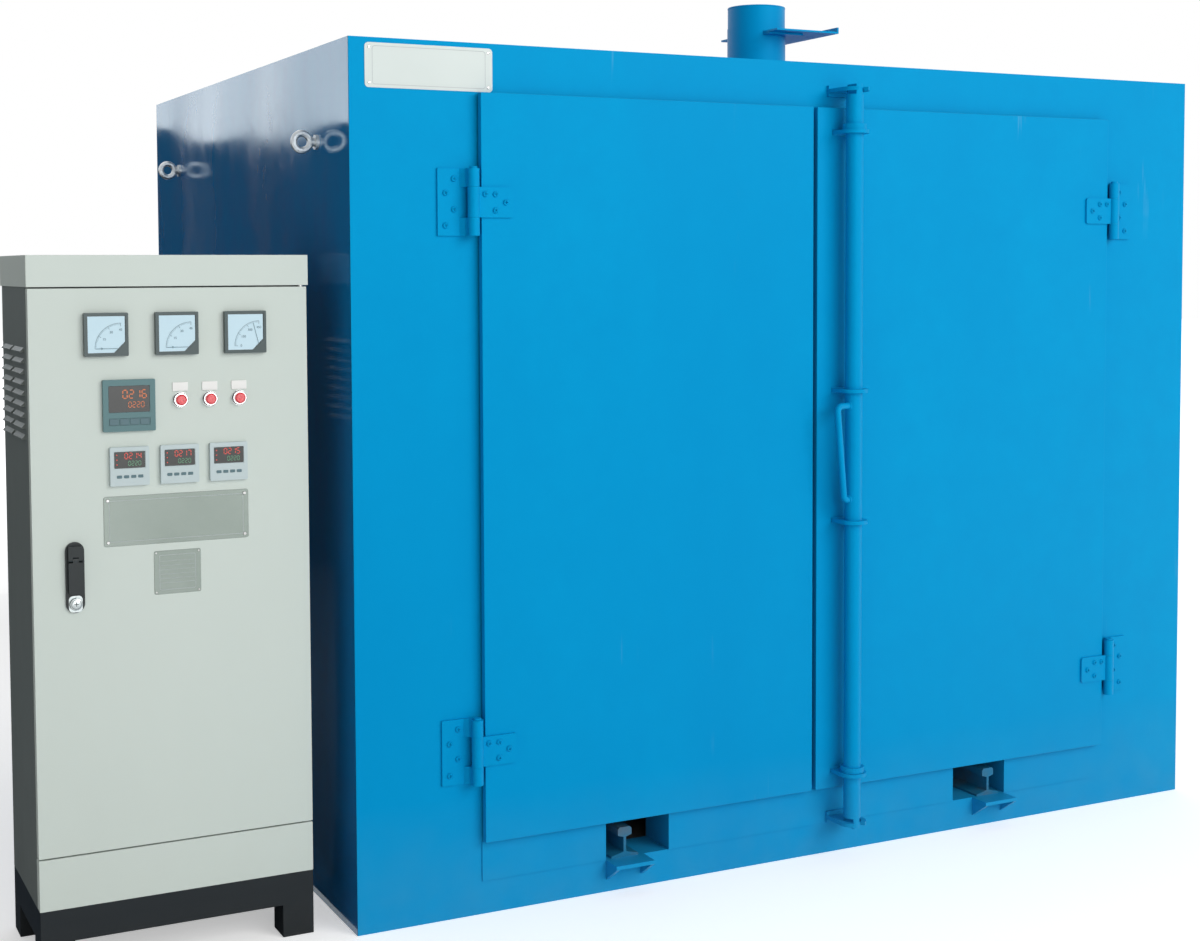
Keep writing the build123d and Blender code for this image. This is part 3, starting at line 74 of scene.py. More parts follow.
def newGroup(name, inputs, outputs):
    group = bpy.data.node_groups.new(name, "ShaderNodeTree")
    kinds = {1: "NodeSocketFloat", 3: "NodeSocketVector", 4: "NodeSocketColor"}
    for label, value in inputs.items():
        kind = kinds[len(value) if isinstance(value, tuple) else 1]
        socket = group.interface.new_socket(label, in_out="INPUT", socket_type=kind)
        socket.default_value = value
    for label in outputs:
        kind = kinds[4 if label == "Colour" else 1]
        group.interface.new_socket(label, in_out="OUTPUT", socket_type=kind)
    entry = addNode(group, "NodeGroupInput", (-900, 0))
    leave = addNode(group, "NodeGroupOutput", (700, 0))
    return group, entry, leave


def mathNode(tree, operation, at, *values):
    node = addNode(tree, "ShaderNodeMath", at, operation=operation)
    for slotNumber, value in enumerate(values):
        setOrWire(tree, node, slotNumber, value)
    return node


def mixColour(tree, at, factor, first, second):
    node = addNode(tree, "ShaderNodeMix", at, data_type="RGBA")
    for socket, value in ((0, factor), (6, first), (7, second)):
        plain = len(value) == 3
        setOrWire(tree, node, socket, (*value, 1) if plain else value)
    return node


def remap(tree, at, value, fromRange=(0.0, 1.0), toRange=(0.0, 1.0)):
    node = addNode(tree, "ShaderNodeMapRange", at)
    labels = ("From Min", "From Max", "To Min", "To Max")
    for label, end in zip(labels, (*fromRange, *toRange)):
        node.inputs[label].default_value = end
    setOrWire(tree, node, "Value", value)
    return node


def surfaceTexture(tree, kind, at, mapping=None, **values):
    texture = addNode(tree, "ShaderNodeTex" + kind, at, **values)
    coord = addNode(tree, "ShaderNodeTexCoord", (at[0] - 400, at[1]))
    if mapping is None:
        wire(tree, coord, "Object", texture, "Vector")
        return texture
    turned = addNode(tree, "ShaderNodeMapping", (at[0] - 200, at[1]))
    for label, value in mapping.items():
        setOrWire(tree, turned, label, value)
    wire(tree, coord, "Object", turned, "Vector")
    wire(tree, turned, "Vector", texture, "Vector")
    return texture


# shared effects

def makePaintDrift():
    group, entry, leave = newGroup(
        "paintDrift", {"Colour": (0.5, 0.5, 0.5, 1), "Worn Colour": (0.4, 0.4, 0.4, 1),
                       "Scale": 2.0, "Amount": 0.5}, ("Colour", "Mask"))
    wide = surfaceTexture(group, "Noise", (-500, -200), {"Scale": (1.0, 1.0, 0.35)},
                          Scale=(entry, "Scale"), Detail=5.0, Roughness=0.6)
    fineScale = mathNode(group, "MULTIPLY", (-700, -600), (entry, "Scale"), 9.0)
    fine = surfaceTexture(group, "Noise", (-500, -450), Scale=(fineScale, 0), Detail=8.0,
                          Roughness=0.7)
    shape = remap(group, (-300, -200), (wide, "Fac"), (0.35, 0.7))
    both = mathNode(group, "MULTIPLY", (-100, -250), (shape, 0), (fine, "Fac"))
    scaled = mathNode(group, "MULTIPLY", (100, -250), (both, 0), (entry, "Amount"))
    mixed = mixColour(group, (300, 0), (scaled, 0), (entry, "Colour"), (entry, "Worn Colour"))
    wire(group, mixed, 2, leave, "Colour")
    wire(group, scaled, 0, leave, "Mask")
    return group


def makeSheetWaves():
    group, entry, leave = newGroup(
        "sheetWaves", {"Scale": 1.2, "Peel Scale": 500.0, "Peel": 0.02}, ("Height",))
    swell = surfaceTexture(group, "Noise", (-500, 0), Scale=(entry, "Scale"), Detail=1.0,
                           Roughness=0.35)
    peel = surfaceTexture(group, "Noise", (-500, -300), Scale=(entry, "Peel Scale"), Detail=1.0)
    small = mathNode(group, "MULTIPLY", (-200, -300), (peel, "Fac"), (entry, "Peel"))
    total = mathNode(group, "ADD", (0, 0), (swell, "Fac"), (small, 0))
    wire(group, total, 0, leave, "Height")
    return group


# a mask that rises towards the floor: dust on most paints, painted shade on the side panels
def makeFloorDustAndShade():
    group, entry, leave = newGroup("floorDustAndShade", {"Reach": 0.3, "Amount": 0.5}, ("Mask",))
    coord = addNode(group, "ShaderNodeTexCoord", (-900, -200))
    parts = addNode(group, "ShaderNodeSeparateXYZ", (-700, -200), Vector=(coord, "Object"))
    noise = surfaceTexture(group, "Noise", (-700, -400), Scale=14.0, Detail=6.0)
    share = mathNode(group, "DIVIDE", (-500, -100), (parts, "Z"), (entry, "Reach"))
    rise = mathNode(group, "SUBTRACT", (-300, -100), 1.0, (share, 0))
    speckled = mathNode(group, "MULTIPLY", (-100, -200), (rise, 0), (noise, "Fac"))
    scaled = mathNode(group, "MULTIPLY", (100, -200), (speckled, 0), (entry, "Amount"))
    rise.use_clamp = scaled.use_clamp = True
    wire(group, scaled, 0, leave, "Mask")
    return group


def makeBrushGrain():
    group, entry, leave = newGroup(
        "brushGrain", {"Stretch": (1.0, 1.0, 40.0), "Scale": 60.0}, ("Grain", "Blotch"))
    grain = surfaceTexture(group, "Noise", (-400, -100), {"Scale": (entry, "Stretch")},
                           Scale=(entry, "Scale"), Detail=4.0, Roughness=0.7)
    blotch = surfaceTexture(group, "Noise", (-400, -400), Scale=6.0, Detail=4.0)
    wire(group, grain, "Fac", leave, "Grain")
    wire(group, blotch, "Fac", leave, "Blotch")
    return group


def makeScratches():
    group, entry, leave = newGroup("scratches", {"Scale": 30.0, "Amount": 0.5}, ("Mask",))
    lines = surfaceTexture(
        group, "Noise", (-500, -100), {"Scale": (1.0, 1.0, 0.06), "Rotation": (0.5, 0.7, 0.3)},
        Scale=(entry, "Scale"), Detail=3.0, Roughness=0.8)
    patch = surfaceTexture(group, "Noise", (-500, -400), Scale=5.0, Detail=3.0)
    thin = remap(group, (-300, -100), (lines, "Fac"), (0.66, 0.72))
    rare = remap(group, (-300, -400), (patch, "Fac"), (0.5, 0.65))
    both = mathNode(group, "MULTIPLY", (-100, -200), (thin, 0), (rare, 0))
    scaled = mathNode(group, "MULTIPLY", (100, -200), (both, 0), (entry, "Amount"))
    wire(group, scaled, 0, leave, "Mask")
    return group


paintDrift = makePaintDrift()
sheetWaves = makeSheetWaves()
floorDustAndShade = makeFloorDustAndShade()
brushGrain = makeBrushGrain()
scratches = makeScratches()


def useGroup(tree, group, at, **values):
    return addNode(tree, "ShaderNodeGroup", at, node_tree=group, **values)


def newMaterial(name, **shaderValues):
    material = bpy.data.materials.new(name)
    material.use_nodes = True
    tree = material.node_tree
    shader = tree.nodes["Principled BSDF"]
    for key, value in shaderValues.items():
        shader.inputs[key.replace("_", " ")].default_value = value
    return material, tree, shader


def tintFrom(tree, shader, factor, first, second, sockets=("Base Color",)):
    mixed = mixColour(tree, (-450, 200), factor, first, second)
    for socket in sockets:
        wire(tree, mixed, 2, shader, socket)


def roughFrom(tree, shader, source, socket, low, high):
    spread = remap(tree, (-250, -300), (source, socket), toRange=(low, high))
    wire(tree, spread, 0, shader, "Roughness")


def bumpFrom(tree, shader, source, socket, strength, distance):
    bump = addNode(tree, "ShaderNodeBump", (-250, -550), Strength=strength, Distance=distance,
                   Height=(source, socket))
    wire(tree, bump, "Normal", shader, "Normal")


# finishes of the sheet metal

def paintedSheet(name, look):
    material, tree, shader = newMaterial(
        name, Specular_IOR_Level=look["shine"], IOR=look["ior"],
        Specular_Tint=(*look["shineTint"], 1))
    drift = useGroup(tree, paintDrift, (-900, 200), Colour=(*look["colour"], 1),
                     Worn_Colour=(*look["faded"], 1), Scale=look["driftScale"],
                     Amount=look["drift"])
    # near the floor the colour moves to the look's dust colour: dust on most paints, painted
    # shade on the side panels, which darken towards the bottom
    dustAndShade = useGroup(tree, floorDustAndShade, (-900, -50), Reach=look["dustAndShadeReach"], Amount=look["dustAndShade"])
    marks = useGroup(tree, scratches, (-900, -250), Scale=look["scratchScale"],
                     Amount=look["scratch"])
    dustAndShadeTint = mixColour(tree, (-600, 200), (dustAndShade, "Mask"), (drift, "Colour"), look["dustAndShadeColour"])
    tintFrom(tree, shader, (marks, "Mask"), (dustAndShadeTint, 2), look["scratchColour"])
    roughFrom(tree, shader, drift, "Mask", look["roughness"], look["roughness"] + 0.25)
    waves = useGroup(tree, sheetWaves, (-900, -550), Scale=look["waveScale"],
                     Peel_Scale=look["peelScale"], Peel=look["peel"])
    bumpFrom(tree, shader, waves, "Height", look["bump"], look["bumpDepth"])
    return material


frontPaint = {
    "colour": (0.0, 0.245, 0.52), "faded": (0.0, 0.33, 0.62), "driftScale": 1.3, "drift": 0.75,
    "roughness": 0.38, "shine": 0.35, "ior": 1.45, "shineTint": (0.05, 0.55, 0.9),
    "dustAndShade": 0.25, "dustAndShadeReach": 0.25, "dustAndShadeColour": (0.12, 0.3, 0.42),
    "scratch": 0.12, "scratchScale": 22.0, "scratchColour": (0.35, 0.55, 0.7),
    "waveScale": 2.2, "peelScale": 420.0, "peel": 0.02, "bump": 0.35, "bumpDepth": 0.006,
}
# the side panels are the front's blue painted darker as painted shade, and darker still towards
# the bottom as more painted shade
shadedSidePaint = dict(
    frontPaint, colour=(0.0, 0.17, 0.42), faded=(0.03, 0.07, 0.24), roughness=0.06,
    shine=0.5, ior=2.1, shineTint=(0.8, 0.97, 1.0), waveScale=1.5, bump=0.8, bumpDepth=0.05,
    drift=1.3, driftScale=2.2, peel=0.0, scratch=0.05,
    dustAndShadeColour=(0.02, 0.06, 0.10), scratchColour=(0.03, 0.10, 0.18))
cabinetPaint = {
    "colour": (0.53, 0.59, 0.55), "faded": (0.48, 0.54, 0.50), "driftScale": 2.0, "drift": 0.6,
    "roughness": 0.42, "shine": 0.4, "ior": 1.45, "shineTint": (1.0, 1.0, 1.0),
    "dustAndShade": 0.15, "dustAndShadeReach": 0.5, "dustAndShadeColour": (0.42, 0.42, 0.38),
    "scratch": 0.05, "scratchScale": 30.0, "scratchColour": (0.45, 0.45, 0.42),
    "waveScale": 3.0, "peelScale": 900.0, "peel": 0.08, "bump": 0.18, "bumpDepth": 0.003,
}
# the cabinet shell is the cabinet's grey painted darker, as painted shade
shadedShellPaint = dict(cabinetPaint, colour=(0.13, 0.15, 0.14), faded=(0.09, 0.11, 0.105))
basePaint = dict(
    cabinetPaint, colour=(0.010, 0.014, 0.017), faded=(0.022, 0.026, 0.028), roughness=0.42,
    shine=0.22, dustAndShade=0.3, dustAndShadeReach=0.10, dustAndShadeColour=(0.09, 0.09, 0.085), scratch=0.25,
    scratchColour=(0.1, 0.1, 0.1))
motorPaint = dict(
    cabinetPaint, colour=(0.05, 0.10, 0.14), faded=(0.03, 0.07, 0.1), roughness=0.4, dustAndShade=0.3,
    dustAndShadeReach=2.0, dustAndShadeColour=(0.12, 0.13, 0.13))

paints = {"frontPaint": frontPaint, "shadedSidePaint": shadedSidePaint, "cabinetPaint": cabinetPaint,
          "shadedShellPaint": shadedShellPaint, "basePaint": basePaint, "motorPaint": motorPaint}
finish = {paintName: paintedSheet(paintName, look) for paintName, look in paints.items()}


# bare metals

def bareMetal(name, look):
    material, tree, shader = newMaterial(name, Metallic=1.0)
    grain = useGroup(tree, brushGrain, (-900, 0), Stretch=look["stretch"], Scale=look["scale"])
    tintFrom(tree, shader, (grain, "Blotch"), look["colour"], look["stain"])
    roughFrom(tree, shader, grain, "Grain", look["roughness"] - 0.12, look["roughness"] + 0.18)
    bumpFrom(tree, shader, grain, "Grain", look["bump"], 0.0006)
    return material


metals = {
    "linerSteel": {"colour": (0.52, 0.52, 0.50), "stain": (0.38, 0.36, 0.33), "roughness": 0.38,
                   "stretch": (1.0, 1.0, 30.0), "scale": 30.0, "bump": 0.15},
    "turnedSteel": {"colour": (0.6, 0.6, 0.6), "stain": (0.42, 0.41, 0.4), "roughness": 0.3,
                    "stretch": (1.0, 30.0, 1.0), "scale": 60.0, "bump": 0.2},
    "plateSilver": {"colour": (0.23, 0.26, 0.24), "stain": (0.16, 0.19, 0.17), "roughness": 0.45,
                    "stretch": (1.0, 1.0, 60.0), "scale": 90.0, "bump": 0.2},
    "chromePlate": {"colour": (0.8, 0.8, 0.8), "stain": (0.7, 0.7, 0.7), "roughness": 0.16,
                    "stretch": (8.0, 8.0, 8.0), "scale": 60.0, "bump": 0.05},
    "lockNickel": {"colour": (0.5, 0.54, 0.54), "stain": (0.36, 0.4, 0.4), "roughness": 0.3,
                   "stretch": (8.0, 8.0, 8.0), "scale": 90.0, "bump": 0.06},
    "heaterSteel": {"colour": (0.2, 0.17, 0.15), "stain": (0.28, 0.19, 0.12), "roughness": 0.5,
                    "stretch": (1.0, 0.4, 1.0), "scale": 80.0, "bump": 0.3},
}
for metalName, metalLook in metals.items():
    finish[metalName] = bareMetal(metalName, metalLook)


def galvanisedSheet():
    material, tree, shader = newMaterial("galvanisedSheet", Metallic=1.0)
    flakes = surfaceTexture(tree, "Voronoi", (-900, 0), Scale=70.0)
    bright = addNode(tree, "ShaderNodeSeparateColor", (-700, 0), Color=(flakes, "Color"))
    tintFrom(tree, shader, (bright, "Red"), (0.42, 0.45, 0.47), (0.6, 0.63, 0.65))
    roughFrom(tree, shader, bright, "Green", 0.3, 0.5)
    bumpFrom(tree, shader, bright, "Blue", 0.05, 0.0005)
    return material


def wornRail():
    material, tree, shader = newMaterial("wornRail", Specular_IOR_Level=0.25)
    grain = useGroup(tree, brushGrain, (-900, 0), Stretch=(1.0, 0.3, 1.0), Scale=120.0)
    edge = remap(tree, (-650, 0), (grain, "Blotch"), (0.42, 0.6))
    tintFrom(tree, shader, (edge, 0), (0.01, 0.15, 0.28), (0.10, 0.11, 0.11))
    roughFrom(tree, shader, edge, 0, 0.35, 0.8)
    bumpFrom(tree, shader, grain, "Grain", 0.4, 0.001)
    return material


def mineralWool():
    material, tree, shader = newMaterial("mineralWool")
    grain = useGroup(tree, brushGrain, (-900, 0), Stretch=(1.0, 5.0, 1.0), Scale=70.0)
    tintFrom(tree, shader, (grain, "Grain"), (0.42, 0.36, 0.16), (0.7, 0.64, 0.4))
    roughFrom(tree, shader, grain, "Blotch", 0.85, 1.0)
    bumpFrom(tree, shader, grain, "Grain", 0.9, 0.004)
    return material


def braidedSeal():
    material, tree, shader = newMaterial("braidedSeal")
    weave = surfaceTexture(tree, "Checker", (-700, 0), {"Rotation": (0.0, 0.78, 0.0)},
                           Scale=260.0)
    grime = useGroup(tree, brushGrain, (-900, -300), Stretch=(1.0, 1.0, 1.0), Scale=200.0)
    tintFrom(tree, shader, (weave, "Fac"), (0.03, 0.03, 0.03), (0.07, 0.065, 0.06))
    roughFrom(tree, shader, grime, "Grain", 0.75, 1.0)
    bumpFrom(tree, shader, weave, "Fac", 0.5, 0.001)
    return material


finish["galvanisedSheet"] = galvanisedSheet()
finish["wornRail"] = wornRail()
finish["mineralWool"] = mineralWool()
finish["braidedSeal"] = braidedSeal()


# plastics, printed plates and lit displays

def mouldedPlastic(name, look):
    material, tree, shader = newMaterial(name, Specular_IOR_Level=look["shine"])
    grain = useGroup(tree, brushGrain, (-900, 0), Stretch=(1.0, 1.0, 1.0), Scale=look["scale"])
    tintFrom(tree, shader, (grain, "Blotch"), look["colour"], look["faded"])
    roughFrom(tree, shader, grain, "Grain", look["roughness"] - 0.08, look["roughness"] + 0.1)
    bumpFrom(tree, shader, grain, "Grain", look["bump"], 0.0004)
    return material


plastics = {
    "devicePlastic": {"colour": (0.55, 0.55, 0.53), "faded": (0.48, 0.47, 0.44), "shine": 0.4,
                      "scale": 700.0, "roughness": 0.5, "bump": 0.15},
    "deviceDark": {"colour": (0.03, 0.03, 0.032), "faded": (0.045, 0.045, 0.045), "shine": 0.4,
                   "scale": 700.0, "roughness": 0.45, "bump": 0.15},
    "bezelBlack": {"colour": (0.012, 0.03, 0.032), "faded": (0.02, 0.045, 0.045), "shine": 0.5,
                   "scale": 600.0, "roughness": 0.3, "bump": 0.08},
    "bezelGrey": {"colour": (0.085, 0.18, 0.19), "faded": (0.07, 0.15, 0.16), "shine": 0.4,
                  "scale": 900.0, "roughness": 0.45, "bump": 0.12},
    "bezelWhite": {"colour": (0.48, 0.56, 0.57), "faded": (0.42, 0.50, 0.51), "shine": 0.4,
                   "scale": 900.0, "roughness": 0.42, "bump": 0.1},
    "keyPad": {"colour": (0.07, 0.13, 0.15), "faded": (0.1, 0.17, 0.19), "shine": 0.35,
               "scale": 900.0, "roughness": 0.5, "bump": 0.1},
    "dialPaper": {"colour": (0.55, 0.72, 0.80), "faded": (0.50, 0.66, 0.74), "shine": 0.3,
                  "scale": 300.0, "roughness": 0.6, "bump": 0.02},
    "dialInk": {"colour": (0.10, 0.18, 0.22), "faded": (0.14, 0.22, 0.26), "shine": 0.2,
                "scale": 300.0, "roughness": 0.6, "bump": 0.02},
    "legendWhite": {"colour": (0.78, 0.78, 0.76), "faded": (0.7, 0.7, 0.68), "shine": 0.4,
                    "scale": 300.0, "roughness": 0.4, "bump": 0.04},
    "displayDark": {"colour": (0.012, 0.014, 0.013), "faded": (0.02, 0.02, 0.018), "shine": 0.5,
                    "scale": 500.0, "roughness": 0.22, "bump": 0.02},
    "handleBlack": {"colour": (0.006, 0.011, 0.012), "faded": (0.012, 0.017, 0.018), "shine": 0.3,
                    "scale": 800.0, "roughness": 0.34, "bump": 0.1},
    "plateWhite": {"colour": (0.60, 0.66, 0.64), "faded": (0.53, 0.59, 0.57), "shine": 0.4,
                   "scale": 120.0, "roughness": 0.35, "bump": 0.04},
    "plateLine": {"colour": (0.34, 0.38, 0.4), "faded": (0.42, 0.45, 0.46), "shine": 0.3,
                  "scale": 200.0, "roughness": 0.5, "bump": 0.03},
}
for plasticName, plasticLook in plastics.items():
    finish[plasticName] = mouldedPlastic(plasticName, plasticLook)


def litSegments(name, colour, strength):
    material, tree, shader = newMaterial(name, Roughness=0.4, Emission_Strength=strength)
    noise = surfaceTexture(tree, "Noise", (-700, 0), Scale=400.0)
    dim = tuple(channel * 0.75 for channel in colour)
    tintFrom(tree, shader, (noise, "Fac"), colour, dim, ("Base Color", "Emission Color"))
    return material


def redLens():
    material, tree, shader = newMaterial(
        "redLens", Roughness=0.12, Coat_Weight=0.6, Coat_Roughness=0.05,
        Emission_Strength=0.12)
    facets = surfaceTexture(tree, "Voronoi", (-900, 0), Scale=380.0)
    tintFrom(tree, shader, (facets, "Distance"), (0.8, 0.012, 0.02), (0.35, 0.0, 0.01),
             ("Base Color", "Emission Color"))
    bumpFrom(tree, shader, facets, "Distance", 0.4, 0.001)
    return material


finish["amberLit"] = litSegments("amberLit", (0.55, 0.14, 0.04), 0.22)
finish["redLit"] = litSegments("redLit", (0.65, 0.06, 0.04), 0.3)
finish["greenLit"] = litSegments("greenLit", (0.1, 0.3, 0.16), 0.12)
finish["redLens"] = redLens()
print("finishes made,", len(finish))

nodeFinish = {
    "frontPaint": ["front_frame", "sill_plate", "rail_shelves", "lock_keepers", "hinge_leaves",
                   "door_left_pan", "door_left_straps", "door_right_pan", "door_right_straps",
                   "lock_guides", "lock_bar", "exhaust_pipe", "damper_blade", "hinge_pins"],
    # the side, roof and back panels take the darker copy of the front's blue, as painted shade
    "shadedSidePaint": ["side_panel_left", "side_panel_right", "roof_panel", "back_panel",
                  "base_frame", "terminal_covers"],
    "linerSteel": ["chamber_liner", "duct_walls", "rear_baffle", "heater_racks",
                   "door_left_liner", "door_right_liner"],
    "turnedSteel": ["fan_guard", "impeller", "fan_shaft", "temperature_probe",
                    "cabinet_pivots"],
    "heaterSteel": ["heater_banks"],
    "wornRail": ["rails"],
    "galvanisedSheet": ["lifting_eyes", "air_inlet", "mounting_plate"],
    "motorPaint": ["motor_stand", "fan_motor"],
    "mineralWool": ["wall_insulation", "door_left_insulation", "door_right_insulation"],
    "braidedSeal": ["door_left_seal", "door_right_seal", "cabinet_door_seal"],
    "cabinetPaint": ["cabinet_kick_panel", "cabinet_cap", "cabinet_door"],
    # the cabinet shell takes the darker copy of the cabinet's grey, as painted shade
    "shadedShellPaint": ["cabinet_shell"],
    "basePaint": ["cabinet_stand"],
    "devicePlastic": ["control_gear"],
    "deviceDark": ["main_breaker"],
    "bezelBlack": ["panel_meters"],
    "bezelGrey": ["main_controller"],
    "bezelWhite": ["zone_controllers"],
    "chromePlate": ["pilot_lamps"],
    "redLens": ["lamp_lenses"],
    "handleBlack": ["handle_escutcheon", "latch_lever", "latch_spindle"],
    "plateWhite": ["oven_nameplate"],
}
for finishName, members in nodeFinish.items():
    for member in members:
        mesh = nodes[member].data
        mesh.materials.clear()
        mesh.materials.append(finish[finishName])


softEdges = {"names": ["door_left_pan", "door_right_pan", "cabinet_cap", "cabinet_kick_panel",
                       "cabinet_stand"],
             "width": 0.0012, "segments": 2, "weld": 0.00001, "angle": math.radians(40)}
for name in softEdges["names"]:
    node = nodes[name]
    weld = node.modifiers.new("join", "WELD")
    weld.merge_threshold = softEdges["weld"]
    bevel = node.modifiers.new("soften", "BEVEL")
    bevel.width = softEdges["width"]
    bevel.segments = softEdges["segments"]
    bevel.limit_method = "ANGLE"
    bevel.angle_limit = softEdges["angle"]
    bevel.harden_normals = False
    node.modifiers.new("even", "WEIGHTED_NORMAL")
print("CAD nodes dressed")

toFront, toBack, toTop = (0, -1, 0), (0, 1, 0), (0, 0, 1)
sharpAngle = math.radians(38)


# mesh helpers: a ring stack is a lathe whose radius may change with the angle

def flatCircle(radius):
    return lambda angle: radius


def hexagon(radius):
    def reach(angle):
        turn = (angle + math.pi / 6) % (math.pi / 3) - math.pi / 6
        return radius * math.cos(math.pi / 6) / math.cos(turn)
    return reach


def plusSign(armLength, armHalf):
    def reach(angle):
        c = max(abs(math.cos(angle)), 1e-6)
        s = max(abs(math.sin(angle)), 1e-6)
        return max(min(armLength / c, armHalf / s), min(armLength / s, armHalf / c))
    return reach


def joinLoops(bm, loops, closed=False):
    pairs = list(zip(loops, loops[1:]))
    if closed:
        pairs.append((loops[-1], loops[0]))
    for first, second in pairs:
        for step in range(len(first)):
            after = (step + 1) % len(first)
            bm.faces.new((first[step], first[after], second[after], second[step]))


def ringStack(bm, place, rings, segments=24, closeEnd=True):
    loops = []
    for reach, height in rings:
        reach = reach if callable(reach) else flatCircle(reach)
        loop = []
        for step in range(segments):
            angle = 2 * math.pi * step / segments
            radius = reach(angle)
            spot = Vector((radius * math.cos(angle), radius * math.sin(angle), height))
            loop.append(bm.verts.new(place @ spot))
        loops.append(loop)
    joinLoops(bm, loops)
    if closeEnd:
        bm.faces.new(loops[-1])


def facing(spot, outward, turn=0.0):
    axis = Vector(outward).normalized()
    turned = axis.to_track_quat("Z", "Y").to_matrix().to_4x4()
    return Matrix.Translation(Vector(spot)) @ turned @ Matrix.Rotation(turn, 4, "Z")


def crossScrew(bm, spot, outward, radius, turn=0.0):
    height = radius * 0.55
    recess = plusSign(radius * 0.55, radius * 0.13)
    rings = [(radius, 0.0), (radius, height * 0.25), (radius * 0.9, height * 0.7),
             (radius * 0.7, height), (recess, height), (recess, height * 0.25)]
    ringStack(bm, facing(spot, outward, turn), rings, segments=32)


def hexBolt(bm, spot, outward, radius, washer=True):
    place = facing(spot, outward)
    base = radius * 0.25 if washer else 0.0
    if washer:
        ringStack(bm, place, [(radius * 1.6, 0.0), (radius * 1.6, base * 0.8),
                              (radius * 1.5, base)])
    head = base + radius * 0.8
    rings = [(hexagon(radius), base), (hexagon(radius), head - radius * 0.12),
             (hexagon(radius * 0.88), head), (radius * 0.45, head + radius * 0.02)]
    ringStack(bm, place, rings)


def popRivet(bm, spot, outward, radius):
    rings = [(radius, 0.0), (radius * 0.85, radius * 0.35), (radius * 0.5, radius * 0.5),
             (radius * 0.35, radius * 0.5), (radius * 0.3, radius * 0.3)]
    ringStack(bm, facing(spot, outward), rings, segments=16)


def tubeAlong(bm, points, radii, sides=10, closed=False):
    loops = []
    count = len(points)
    side = None
    for index, point in enumerate(points):
        before = points[index - 1] if index or closed else point
        after = points[(index + 1) % count] if index + 1 < count or closed else point
        along = (after - before).normalized()
        if side is None:
            side = along.orthogonal().normalized()
        side = (side - along * side.dot(along)).normalized()
        up = along.cross(side)
        radius = radii[index] if isinstance(radii, list) else radii
        loop = []
        for step in range(sides):
            angle = 2 * math.pi * step / sides
            offset = side * math.cos(angle) * radius + up * math.sin(angle) * radius
            loop.append(bm.verts.new(point + offset))
        loops.append(loop)
    joinLoops(bm, loops, closed)
    if not closed:
        bm.faces.new(reversed(loops[0]))
        bm.faces.new(loops[-1])


def weldBead(bm, corners, radius, pitch=0.0035):
    points, radii = [], []
    for start, end in zip(corners, corners[1:]):
        run = end - start
        steps = max(2, int(run.length / pitch))
        for step in range(steps):
            points.append(start + run * (step / steps))
            radii.append(radius * (0.86 + 0.2 * (step % 2) + random.uniform(-0.05, 0.05)))
    points.append(corners[-1])
    radii.append(radius)
    tubeAlong(bm, points, radii, sides=8)


def roundedOutline(width, height, corner, steps=5):
    spots = []
    for turn, (sx, sz) in enumerate(((1, 1), (-1, 1), (-1, -1), (1, -1))):
        centre = (sx * (width / 2 - corner), sz * (height / 2 - corner))
        for step in range(steps + 1):
            angle = math.pi / 2 * (turn + step / steps)
            spots.append((centre[0] + corner * math.cos(angle),
                          centre[1] + corner * math.sin(angle)))
    return spots


def roundedPlate(bm, centre, outward, width, height, thick, corner, edge=0.0003):
    place = uprightPlace(centre, outward)
    loops = []
    for inset, level in ((0, 0), (0, thick - edge), (edge, thick)):
        outline = roundedOutline(width - 2 * inset, height - 2 * inset, max(corner - inset, edge))
        loops.append([bm.verts.new(place @ Vector((x, y, level))) for x, y in outline])
    joinLoops(bm, loops)
    bm.faces.new(loops[-1])
    bm.faces.new(reversed(loops[0]))


def uprightPlace(centre, outward):
    z = Vector(outward).normalized()
    x = Vector((0, 0, 1)).cross(z)
    x = Vector((1, 0, 0)) if x.length < 1e-6 else x.normalized()
    y = z.cross(x)
    turned = Matrix((x, y, z)).transposed().to_4x4()
    return Matrix.Translation(Vector(centre)) @ turned


def linked(name, data):
    made = bpy.data.objects.new(name, data)
    bpy.context.scene.collection.objects.link(made)
    return made


def piece(name, bm, finishName, body, smooth=True):
    bmesh.ops.recalc_face_normals(bm, faces=bm.faces)
    mesh = bpy.data.meshes.new(name)
    bm.to_mesh(mesh)
    bm.free()
    mesh.materials.append(finish[finishName])
    made = linked(name, mesh)
    if smooth:
        mesh.shade_smooth()
        mesh.set_sharp_from_angle(angle=sharpAngle)
    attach(made, body)


def fourCorners(halfWidth, halfHeight):
    return [(sx * halfWidth, sz * halfHeight) for sx in (-1, 1) for sz in (-1, 1)]


def jointAt(child):
    return next(j for j in frame["joints"] if j["child"] == child)["pos_m"]


# hinge screws
hingeScrews = {
    "radius": 0.0062, "plateThick": 0.005, "strapHalf": 0.03,
    "leaf": ((0.034, 0.046), (0.052, 0.018), (0.034, -0.014), (0.052, -0.046)),
    "strap": ((0.024, 0.016), (0.046, -0.016), (0.046, 0.016), (0.068, 0.0)),
}
strapLow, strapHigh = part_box("door_left_straps")
hingeRows = (strapHigh.z - hingeScrews["strapHalf"], strapLow.z + hingeScrews["strapHalf"])
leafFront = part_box("front_frame")[0].y - hingeScrews["plateThick"]
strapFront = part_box("door_left_pan")[0].y - hingeScrews["plateThick"]
for hand, doorBody in ((-1, "door_left"), (1, "door_right")):
    axisX = jointAt(doorBody)[0]
    halves = {"leaf": (bmesh.new(), hand, leafFront, "casing"),
              "strap": (bmesh.new(), -hand, strapFront, doorBody)}
    for row in hingeRows:
        for half, (bm, side, face, body) in halves.items():
            for reach, rise in hingeScrews[half]:
                spot = (axisX + side * reach, face, row + rise)
                crossScrew(bm, spot, toFront, hingeScrews["radius"], random.random() * 3)
    for half, (bm, side, face, body) in halves.items():
        piece(f"{doorBody}_{half}_screws", bm, "frontPaint", body)
print("hinge screws placed")

